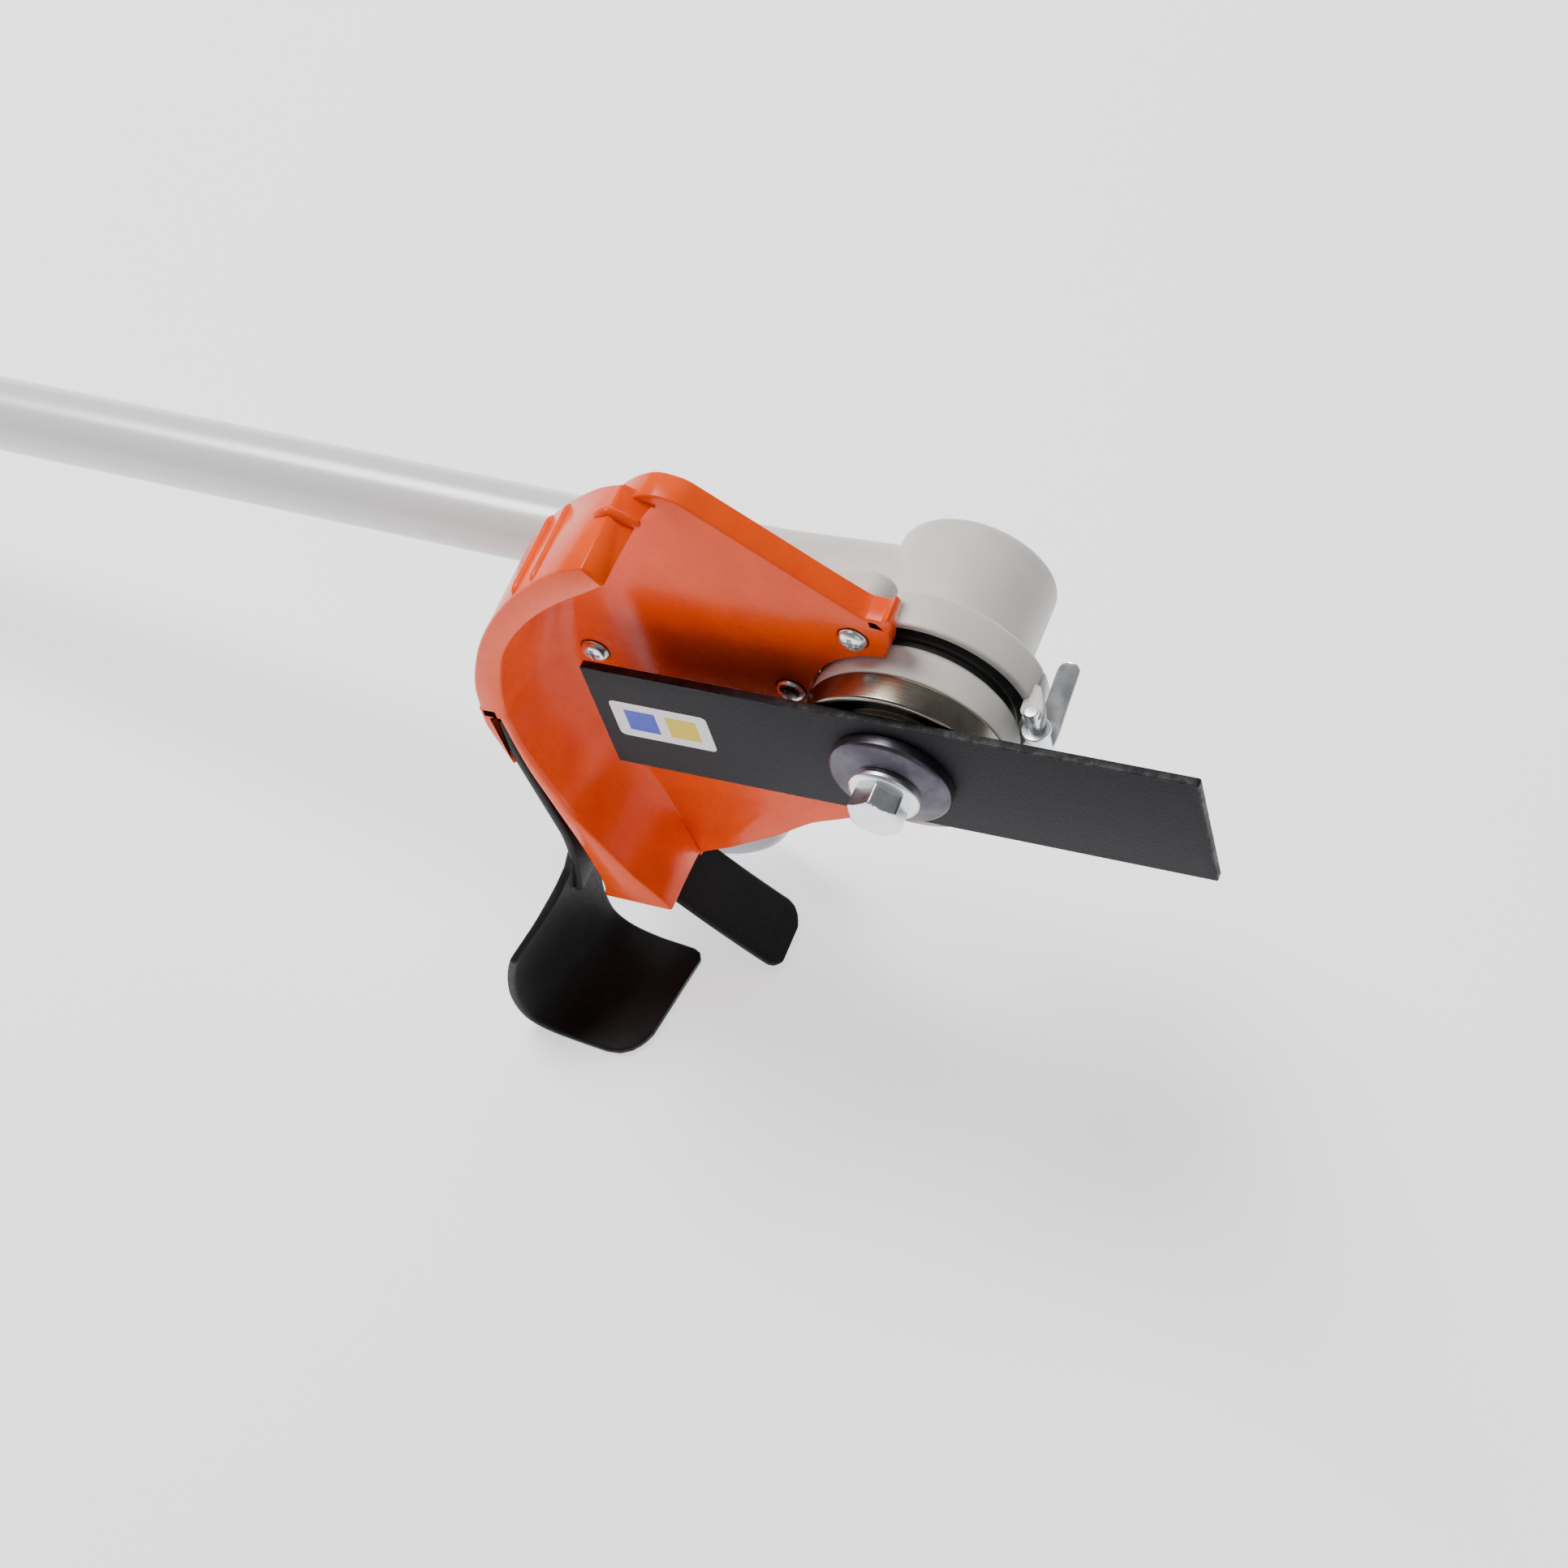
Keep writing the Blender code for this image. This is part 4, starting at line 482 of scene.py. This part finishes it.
LOOKS = {
    "orange_paint": finish("orange_finish", orange, Coat_Weight=0.04, Coat_Roughness=0.05,
                           Specular_IOR_Level=0.16),
    "black_blade": finish("blade_finish", blade_paint, Specular_IOR_Level=0.16),
    "cast_paint": finish("casting_finish", casting),
    "bright_zinc": finish("zinc_finish", zinc, Metallic=1.0),
    "turned_steel": finish("lathe_finish", lathe_steel, Metallic=1.0),
    "dark_steel": finish("oxide_finish", oxide, Metallic=0.85),
    "gear_steel": finish("steel_finish", bare_steel, Metallic=1.0),
    "white_tube": finish("tube_finish", tube_paint, Metallic=0.1),
    "black_rubber": finish("rubber_finish", rubber, Specular_IOR_Level=0.3),
    "black_nylon": finish("nylon_finish", nylon),
    "pale_nylon": finish("wheel_finish", pale_wheel),
}
RECORD = frame["record"]
BODY = {node: body for body, nodes in RECORD["behaviour"]["bodies"].items() for node in nodes}
for part in RECORD["subparts"]:
    node = frame["nodes"][part["node"]]
    node.data.materials.clear()
    node.data.materials.append(LOOKS[part["material_slot"]])

# ---------------------------------------------------------------- gear head

CAP = fillet([(0, -30.2, 0), (29.7, -30.2, 0.5), (29.7, -43.5, 0.3), (31.7, -43.5, 0.8), (31.7, -46.2, 1.5),
              (26.4, -48.2, 2), (26.4, -81.2, 3.4), (0, -81.2, 0)])
case = Shape().grid(turned(CAP, 192))
NECK = fillet([(10, 4, 0), (18.9, 5, 0), (18.2, 16, 3), (15.2, 64, 6), (15.2, 85, 0.8), (13.0, 85, 0.4),
               (13.0, 60, 0)])
case.grid(turned(NECK, 128, frame_of=tube_points))
for low, high in ((0.75, 8), (-8, -0.75)):
    block = fillet([(12.9, low, 0), (24, low, 0.8), (24, high, 2.0), (12.9, high, 0)])
    rows = [[(x, y, z) for x, y in block] for z in (66, 84)]
    case.grid(tube_points(rows), caps=True)
case.make("case_skin", LOOKS["cast_paint"], "gear_case")

collar = fillet([(14.3, -13.5, 0), (33.3, -13.5, 0.8), (33.3, -24, 2.0), (28.3, -28, 0.8), (28.0, -29.9, 0),
                 (20, -29.9, 0), (20, -44, 0), (14.3, -44, 0)])
Shape().grid(turned(collar, 192)).make("collar_skin", LOOKS["cast_paint"], "bearing_housing")

flange = fillet([(7.8, -0.9, 0), (9.7, -0.9, 0.3), (9.7, -3.3, 0), (25, -3.3, 0.3), (25, -5.5, 0.3),
                 (30.2, -5.5, 0.5),
                 (31.4, -3.5, 0.5), (33.1, -3.4, 0.5), (33.65, -3.9, 0.4), (33.65, -12.8, 0.5),
                 (33.1, -13.2, 0),
                 (7.8, -13.2, 0)], closed=True)
Shape().grid(turned(flange, 224), close_rows=True).make("flange_skin", LOOKS["turned_steel"], "output_flange")

cup = fillet([(5.2, 7.4, 0), (10.7, 7.4, 0.5), (11.3, 6.7, 0.6), (19.2, 4.6, 0.8), (20.2, 3.7, 0.8),
              (20.2, 0.3, 0.3),
              (17.2, 0.3, 0.3), (15.2, 2.0, 0.5), (10.7, 3.2, 0.5), (5.2, 3.2, 0)], closed=True)
Shape().grid(turned(cup, 192), close_rows=True).make("washer_skin", LOOKS["dark_steel"], "cup_washer")

angles = 2 * math.pi * np.arange(180) / 180
hexagon = 8.0 / np.cos((angles + math.pi / 6) % (math.pi / 3) - math.pi / 6)
hexagon = np.minimum(hexagon, 9.12)
heights = [8.9, 10.2, 12.0, 15.0, 17.0, 17.4, 17.7, 17.95, 18.15, 18.3, 18.3, 18.3, 18.3]
limits = [9.3, 9.3, 9.3, 9.3, 9.25, 9.1, 8.7, 8.25, 7.8, 7.4, 6.5, 6.3, 0.0]
bolt = Shape().grid([np.column_stack([np.minimum(hexagon, r) * np.cos(angles),
                                      np.minimum(hexagon, r) * np.sin(angles),
                                      np.full(180, h)]) for h, r in zip(heights, limits)])
bolt.grid(turned(fillet([(0, 10.2, 0), (10.4, 10.2, 0.8), (11.7, 9.2, 0.5), (11.7, 7.7, 0.3),
                         (4.9, 7.7, 0), (4.9, -24, 0.5),
                         (0, -24, 0)]), 160))
bolt.make("bolt_skin", LOOKS["bright_zinc"], "blade_bolt")

along, across = BLADE_HALF
blade = fillet([(-along, -across, 0.9), (along, -across, 0.9), (along, across, 0.9), (-along, across, 0.9)],
               closed=True)
face = slab(even(blade, 4.0), -3, 0, 0.3)
Shape().grid(face, caps=True).make("blade_skin", LOOKS["black_blade"], "blade", 30)

# ---------------------------------------------------------------- clamp ring and lever

ring = Shape()
wall = fillet([(30.0, -43.2, 0.5), (36.5, -43.2, 1.6), (36.5, -30.2, 1.2), (33.9, -30.2, 0.5),
               (33.9, -37.0, 0.8),
               (30.0, -37.0, 0.4)], closed=True)
rows = turned(wall, 200, start=math.radians(11.5), sweep=2 * math.pi - math.radians(3))
ring.grid(np.transpose(rows, (1, 0, 2)), caps=True)
lug = hull([(-22, 22, 8), (*RING_SCREWS[0], 7), (*RING_SCREWS[1], 7), (-34, 40, 5)])
lug = even(lug, 2.5)
far = np.hypot(*lug.T)
lug *= np.maximum(1, 34.1 / far)[:, None]
ring.grid(slab(lug, -39.2, -30.2, 1.0), caps=True)
for low, high in ((1.3, 5.3), (6.8, 8.6)):
    plan = even(fillet([(34.0, -24.5, 2.0), (41.2, -23.4, 3.0), (41.2, -28, 4), (37.5, -36, 2),
                        (33.5, -36, 0)], closed=True), 1.0)
    ear = slab(plan[::-1], low, high, 0.6)
    ring.grid(ear[:, :, [0, 2, 1]], caps=True)
ring.make("ring_skin", LOOKS["cast_paint"], "clamp_ring")


def lever_points(rows):
    """Lever frame (z up across the blade) to the tool frame."""
    rows = np.asarray(rows, float)
    return np.stack([rows[..., 0] + 38.3, rows[..., 2], -25.0 - rows[..., 1]], -1)


lever = Shape()
hub = fillet([(0, 10.2, 0), (2.4, 10.2, 0.4), (2.4, 1.0, 0), (4.7, 1.0, 0.3), (4.7, -0.5, 0.4),
              (3.9, -0.8, 0.2),
              (3.9, -10.0, 0.8), (2.8, -10.7, 0.4), (0, -10.7, 0)])
lever.grid(turned(hub, 72, frame_of=lever_points))
WING = np.array([(38.6, -9.0, -24.6, 3.4), (39.2, -8.1, -26.5, 3.5), (39.9, -6.0, -30.2, 3.6),
                 (40.9, -1.6, -36.5, 3.7),
                 (42.2, 3.0, -43.5, 3.7), (42.6, 4.3, -45.5, 3.6)])
line = smooth(WING, 40)
tip = [(42.6 + 0.4 * s, 4.3 + 1.4 * s, -45.5 - 2.2 * s, 3.6 * math.sqrt(1 - s * s))
       for s in np.linspace(0.1, 0.97, 12)]
line = np.vstack([line, tip])
edge = np.array([(-1, -0.4), (-0.93, -0.85), (-0.6, -1), (0.6, -1), (0.93, -0.85), (1, -0.4), (1, 0.4),
                 (0.93, 0.85), (0.6, 1),
                 (-0.6, 1), (-0.93, 0.85), (-1, 0.4)])
lever.grid(line[:, None, :3] + np.stack([edge[:, 0] * line[:, 3:4], 0.85 * edge[:, 1] + 0 * line[:, 3:4],
                                         0 * edge[:, 0] * line[:, 3:4]], -1), caps=True)
lever.make("lever_skin", LOOKS["bright_zinc"], "clamp_lever")

# ---------------------------------------------------------------- guard

SKIRT_TOP = [
    (-65.1, 92.7, -69.7, 89.7, -75.0, 96.9, -75.0, 96.9),
    (-72, 85.5, -77.5, 83.9, -84.5, 92.9, -84.5, 92.9),
    (-81, 76.5, -88.5, 76.3, -96.7, 83.3, -96.7, 83.3),
    (-92, 63.5, -100.8, 65.4, -109, 70.4, -109, 70.4),
    (-101, 49.5, -111.5, 52.4, -120.2, 54.8, -120.2, 54.8),
    (-107.6, 37, -119.2, 39.6, -128, 40.3, -128, 40.3),
    (-111.5, 21.1, -124.8, 23, -134.4, 23, -134.4, 23),
    (-114, 7.5, -127.6, 9, -136.6, 9.5, -136.6, 9.5),
    (-114.6, 4.6, -127.7, 5.2, -136.9, 5.2, -136.9, 5.2)]
SKIRT_LOW = [
    (-114.6, 4.6, -127.7, 5.2, -131.0, 5.2, -131.0, 5.2),
    (-115.7, -10, -127.1, -10, -130.1, -11, -130.1, -11),
    (-115.6, -24.1, -125, -24, -128.9, -24, -128.9, -24),
    (-112.9, -36, -122, -37, -126.6, -37.5, -126.6, -37.5),
    (-110.6, -43.2, -120.2, -46, -125, -47, -125, -47),
    (-104.9, -59.7, -113.5, -61, -122.4, -62, -122, -62),
    (-102.9, -76.4, -106.5, -76.5, -120.6, -76, -120, -78),
    (-101.5, -92, -99, -88.5, -120, -87.7, -119, -94),
    (-101, -106.4, -96.1, -95.4, -121.5, -94.9, -117, -106.8)]
FRONT, BACK, PLATE, PLATE_BACK = 12.0, -27.5, -18.0, -21.0


def skirt_rows(table, count):
    """Sections of the skirt: a quarter-ellipse cove from the plate to the band, the band's rounded
    front, the outer wall, the rim and the hollow behind."""
    t = np.linspace(0, math.pi / 2, 22)
    sections = []
    for row in smooth(table, count):
        crease, inner, outer, rim = row[:2], row[2:4], row[4:6], row[6:8]
        out = (outer - crease) / np.hypot(*(outer - crease))
        side = (outer - inner) / np.hypot(*(outer - inner))
        cove = [(*(crease + (inner - crease) * math.sin(a)),
                 PLATE + (FRONT - PLATE) * (1 - math.cos(a))) for a in t]
        cove[-1] = (*inner, FRONT - 0.9)
        round_in = [(*(inner + side * r), FRONT - 0.9 + h) for r, h in ((0.25, 0.62), (0.9, 0.9))]
        round_out = [(*(outer - side * r), FRONT - 0.9 + h) for r,
                     h in ((0.9, 0.9), (0.25, 0.62), (0.0, 0.0))]
        tail = [(*rim, PLATE_BACK + 0.6), (*(rim - out * 0.6), PLATE_BACK), (*(crease - out), PLATE_BACK),
                (*(crease - out), PLATE - 0.05), (*(crease - out * 0.4), PLATE - 0.02)]
        sections.append(cove + round_in + round_out + tail)
    return np.array(sections)


def rounded_ends(sections, first=True, last=True, size=0.8):
    """Draws the first and last section in a little so that the ends have a soft edge."""
    rows = list(sections)

    def shrunk(section, amount):
        middle = section.mean(0)
        way = section - middle
        length = np.linalg.norm(way, axis=1, keepdims=True)
        return section - way / np.maximum(length, 1e-6) * np.minimum(amount, length * 0.4)

    if first:
        rows = [shrunk(rows[0], size)] + [rows[0] + (rows[1] - rows[0]) * 0.25] + rows[1:]
    if last:
        rows = rows[:-1] + [rows[-1] + (rows[-2] - rows[-1]) * 0.25] + [shrunk(rows[-1], size)]
    return np.array(rows)


guard = Shape()
guard.grid(rounded_ends(skirt_rows(SKIRT_TOP, 84), True, False), caps=True)
guard.grid(rounded_ends(skirt_rows(SKIRT_LOW, 90), False, True, 0.6), caps=True)
LIP = even(fillet([(-137.0, 9, 0), (-137.3, -1, 2), (-133.9, -20.6, 0.5), (-132.8, -20.6, 0.5),
                   (-133.4, -14, 2), (-134.1, 4, 0.2),
                   (-131, 5.4, 0.3), (-131, 9, 0)], closed=True), 1.2)
guard.grid(slab(LIP, PLATE_BACK, FRONT, 0.5), caps=True)
TOP_EDGE = [(1.3, 47.9, 1.0), (-1.5, 52.5, 1.0), (-5.8, 53.1, 2), (-14.4, 60, 3), (-22, 66.3, 3),
            (-29.7, 72.9, 3),
            (-57.1, 95.9, 3), (-63.7, 97.3, 3), (-67.8, 96.9, 3), (-73.4, 94, 3), (-80.4, 88.2, 2),
            (-76, 82, 1)]
LOW_EDGE = [(-100, -105.8, 1), (-98.6, -104.6, 1), (-87.1, -98.2, 3), (-65.4, -83.3, 4),
            (-50.7, -71.1, 4), (-37.4, -64.3, 4),
            (-24, -57, 4)]
crease = smooth([r[:2] for r in SKIRT_TOP[1:] + SKIRT_LOW[1:]], 60)[1:-1]
start = math.atan2(-33, -14)
bore = arc(34.4, (0, 0), start, math.radians(94) - start - 2 * math.pi, 60)
plate = np.vstack([fillet(TOP_EDGE), crease - np.array([0.8, 0]), fillet(LOW_EDGE), bore])
plate = even(plate, 2.5)
rows = slab(plate, BACK, PLATE, 0.7, 4)
inner = inset(plate, 3.0)
back = [np.column_stack([inset(plate, 2.6), np.full(len(plate), BACK)]),
        np.column_stack([inner, np.full(len(plate), BACK + 0.4)]),
        np.column_stack([inner, np.full(len(plate), PLATE_BACK)])]
guard.grid(np.concatenate([np.array(back[::-1]), rows]), caps=True)
HOOK = even(fillet([(-5, 49, 0), (1.3, 47.9, 0.8), (2.6, 50, 0.8), (3.2, 53.4, 0.9), (2.2, 55.4, 0.9),
                    (0.9, 54.2, 0.6),
                    (0.2, 52.9, 0.6), (-5, 53.4, 0)], closed=True), 0.6)
guard.grid(slab(HOOK, BACK, PLATE, 0.6), caps=True)


def bar(path, radius, steps=16):
    """A round bar along a path of (x, y, z), narrowed to nothing at its ends."""
    path = np.asarray(path, float)
    way = np.gradient(path, axis=0)
    way /= np.linalg.norm(way, axis=1, keepdims=True)
    up = np.cross(way, np.cross([0.3, 0.2, 0.9], way))
    up /= np.linalg.norm(up, axis=1, keepdims=True)
    side = np.cross(way, up)
    s = np.linspace(0, 1, len(path))
    r = radius * np.clip(np.minimum(s, 1 - s) / 0.08, 0.02, 1) ** 0.5
    a = (2 * math.pi * np.arange(steps) / steps)[None, :, None]
    return path[:, None] + (up[:, None] * np.cos(a) + side[:, None] * np.sin(a)) * r[:, None, None]


for x, y in ((-96.2, 83.2), (-104.8, 75.2)):
    rib = [(x, y, z) for z in np.linspace(FRONT - 1.0, PLATE_BACK + 0.6, 24)]
    guard.grid(bar(rib, 1.5), caps=True)
bead = smooth([(-80.5, 93.8, -9.5), (-76.5, 96.6, -10.0), (-73.6, 95.6, -10.5), (-69.6, 92.6, -11.0),
               (-67.2, 90.4, -11.5)], 40)
guard.grid(bar(bead, 1.7), caps=True)
for x, y, radius, low in [(*p, 5.5, -29.9) for p in RING_SCREWS] + [(*p, 6.0, -33.7) for p in ARM_SCREWS]:
    guard.grid(turned(fillet([(0, PLATE_BACK, 0), (radius, PLATE_BACK, 0), (radius, low, 0.6),
                              (0, low, 0)]), 64, (x, y)))
guard.make("guard_skin", LOOKS["orange_paint"], "guard", 45)


def screw_head(name, node, x0, y0):
    """A pan head with a cross recess: dome height less the depth of two crossed slots."""
    seat, radius, height = PLATE + 0.3, 4.6, 2.4
    r = np.concatenate([np.linspace(0, 3.0, 26), np.linspace(3.15, radius, 14)])[:, None]
    a = (2 * math.pi * np.arange(96) / 96)[None, :]
    x, y = r * np.cos(a), r * np.sin(a)
    dome = seat + height * np.sqrt(np.clip(1 - (r / radius) ** 3.2, 0, 1)) + 0 * a

    def arm(u, w):
        return np.clip((0.62 - np.abs(u)) / 0.22 + 0.5, 0, 1) * np.clip((2.5 - np.abs(w)) / 0.5, 0, 1)

    z = dome - 1.5 * np.maximum(arm(x, y), arm(y, x))
    head = Shape().grid(np.stack([x + x0, y + y0, z], -1)[::-1])
    head.grid(turned([(radius, seat), (2.4, seat), (2.4, seat - 22), (0, seat - 22)], 48, (x0, y0)))
    head.make(name, LOOKS["bright_zinc"], node, 50)


for number in (1, 2):
    screw_head(f"ring_screw_skin_{number}", f"guard_screw_{number}", *RING_SCREWS[number - 1])
for number in (1, 2):
    screw_head(f"arm_screw_skin_{number}", f"arm_screw_{number}", *ARM_SCREWS[number - 1])

# ---------------------------------------------------------------- flap


def floor_y(x, lift):
    """The tool frame's y at which a point at x stands this far above the floor."""
    return (lift - AXIS_HEIGHT - x * math.sin(PITCH)) / math.cos(PITCH)


def sheet(low_path, high_path, z_low, z_high, ends_low, ends_high, count=90, half=SHEET_HALF):
    """A bent sheet: its middle line runs between two paths, and its two edges follow the given
    depths, so that corners can be rounded. Its cross-section is a flat bar with round edges."""
    a, b = smooth(low_path, count), smooth(high_path, count)
    s = np.linspace(0, 1, count)
    low, high = np.interp(s, *ends_low), np.interp(s, *ends_high)
    rows = []
    corner = [(0.0, 1.0), (0.12, 0.75), (0.3, 0.3)]
    for k in range(count):
        share = np.array([low[k] + 0.3, low[k] + 0.9, *np.linspace(low[k] + 1.5, high[k] - 1.5, 10),
                          high[k] - 0.9, high[k] - 0.3])
        t = (share - z_low) / (z_high - z_low)
        line = a[k] + (b[k] - a[k]) * t[:, None]
        j, i = min(k + 1, count - 1), max(k - 1, 0)
        way = (a[j] - a[i]) + ((b[j] - b[i]) - (a[j] - a[i])) * t[:, None]
        across = np.column_stack([-way[:, 1], way[:, 0]]) / np.hypot(*way.T)[:, None]
        thick = np.full(len(t), half)
        thick[[0, -1]] = half * 0.55
        thick[[1, -2]] = half * 0.92
        up = np.column_stack([line + across * thick[:, None], share])
        down = np.column_stack([line - across * thick[:, None], share])[::-1]
        rows.append(np.vstack([up, down]))
    return np.array(rows)


WALL = [(-132.3, 2.5), (-131.9, -15), (-130.6, -29.4), (-128.1, -52.9), (-127.3, -62.7),
        (-128.2, -75.3), (-130.5, -88.6),
        (-132.2, -96)]
SLIT_EDGE = [(-128.2, -75.3), (-130.5, -88.6), (-133.2, -102), (-135.6, -114), (-136.7, -123.6),
             (-135.9, -134.4),
             (-130.5, -142.0)] + [(x, floor_y(x, SHEET_HALF)) for x in (-121.2, -112, -104.3)]
FRONT_EDGE = [(-131.5, -73), (-137.5, -86.5), (-143.5, -97), (-148.6, -110), (-151.3, -123), (-149.7, -134.5),
              (-143.5, -140.4)] + [(x, floor_y(x, SHEET_HALF)) for x in (-134, -122, -111)]
FAR = [(-128.2, -75.3), (-130.5, -88.6), (-128, -98), (-121, -109.5), (-110, -121.8), (-98, -136),
       (-88, -147.0), (-78.7, -156.4)]
flap = Shape()
flap.grid(sheet(WALL, WALL, BACK, 12, ([0, 1], [BACK, BACK]), ([0, 1], [12, 12]), 60), caps=True)
shoulder = ([0, 0.06, 0.10, 0.14, 0.19, 0.25, 0.9, 0.94, 0.97, 0.99, 1],
            [11, 14, 20, 29, 37, 44, 44, 43, 40.5, 37, 33])
flap.grid(sheet(SLIT_EDGE, FRONT_EDGE, -4.5, 44, ([0, 0.96, 0.985, 1], [-4.5, -4.5, -3.6, -1.5]),
                shoulder, 130), caps=True)
flap.grid(sheet(FAR, FAR, -33, -6.5, ([0, 0.15, 0.93, 0.96, 0.985, 1], [-28, -33, -33, -32, -29.5, -26]),
                ([0, 0.96, 0.985, 1], [-6.5, -6.5, -7.5, -9.5]), 110), caps=True)
flap.make("flap_skin", LOOKS["black_rubber"], "rubber_flap", 50)

# ---------------------------------------------------------------- wheel and tube

WX, WY = -120.8, floor_y(-120.8, 45.0)
tread = fillet([(4.3, -40, 0), (9, -40, 0.6), (9, -43, 1), (34, -45, 1.5), (38, -42, 1.5),
                (43, -41, 1.5), (45, -43, 1.5), (45, -57, 1.5),
                (43, -59, 1.5), (38, -58, 1.5), (34, -55, 1.5), (9, -57, 1), (9, -60, 0.6),
                (4.3, -60, 0)], closed=True)
Shape().grid(turned(tread, 192, (WX, WY)), close_rows=True).make(
    "wheel_skin", LOOKS["pale_nylon"], "guide_wheel")
arm = even(hull([(*ARM_SCREWS[0], 9), (*ARM_SCREWS[1], 9), (WX, WY, 10)]), 4)
Shape().grid(slab(arm, -37, -34, 0.5), caps=True).make("arm_skin", LOOKS["dark_steel"], "wheel_arm")
pipe = fillet([(TUBE_RADIUS, 46, 0.3), (TUBE_RADIUS, TUBE_END, 0.4), (11.2, TUBE_END, 0.3), (11.2, 46, 0.3)],
              closed=True)
Shape().grid(turned(pipe, 128, frame_of=tube_points), close_rows=True).make(
    "tube_skin", LOOKS["white_tube"], "drive_tube")

# ---------------------------------------------------------------- floor, light, camera

bpy.ops.mesh.primitive_plane_add(size=14)
floor = bpy.context.object
floor.name = "floor"
floor.data.materials.append(finish("floor_finish", cloth, Emission_Color=rgb(0.97, 0.97, 1.0),
                                   Emission_Strength=1.1))


def light(name, place, target, size, power, colour=(1, 1, 1)):
    """A square soft light at a place, facing a target."""
    lamp = bpy.data.lights.new(name, "AREA")
    lamp.shape = "SQUARE"
    lamp.size = size
    lamp.energy = power
    lamp.color = colour
    made = bpy.data.objects.new(name, lamp)
    bpy.context.scene.collection.objects.link(made)
    way = np.array(target, float) - np.array(place, float)
    made.location = place
    made.rotation_euler = Vector(way).to_track_quat("-Z", "Y").to_euler()
    return made


light("key", (-0.9, 0.5, 2.2), (0.33, 0, 0.1), 1.0, 70, (1.0, 0.99, 0.97))
light("fill", (1.9, -1.9, 1.5), (0.33, 0, 0.1), 1.4, 7, (0.95, 0.97, 1.0))
light("back", (0.2, 2.2, 1.3), (0.33, 0, 0.1), 1.6, 16, (1.0, 1.0, 1.0))
sky = bpy.data.worlds.new("studio")
sky.use_nodes = True
sky.node_tree.nodes["Background"].inputs[0].default_value = (0.96, 0.97, 1.0, 1.0)
sky.node_tree.nodes["Background"].inputs[1].default_value = 0.20
bpy.context.scene.world = sky

lens = bpy.data.cameras.new("camera")
lens.lens = 81.99
lens.sensor_width = 36.0
eye = bpy.data.objects.new("camera", lens)
bpy.context.scene.collection.objects.link(eye)
axes = np.array([[0.90912, -0.21253, -0.35823], [-0.18335, 0.56804, -0.80232],
                 [0.37400, 0.79509, 0.47745]]) @ TOOL.T
place = world([[380.6, 878.0, 539.0]])[0]
eye.matrix_world = Matrix([[*axes[:, i], place[i]] for i in range(3)] + [[0, 0, 0, 1]])
lens.clip_start = 0.05
lens.clip_end = 60
bpy.context.scene.camera = eye
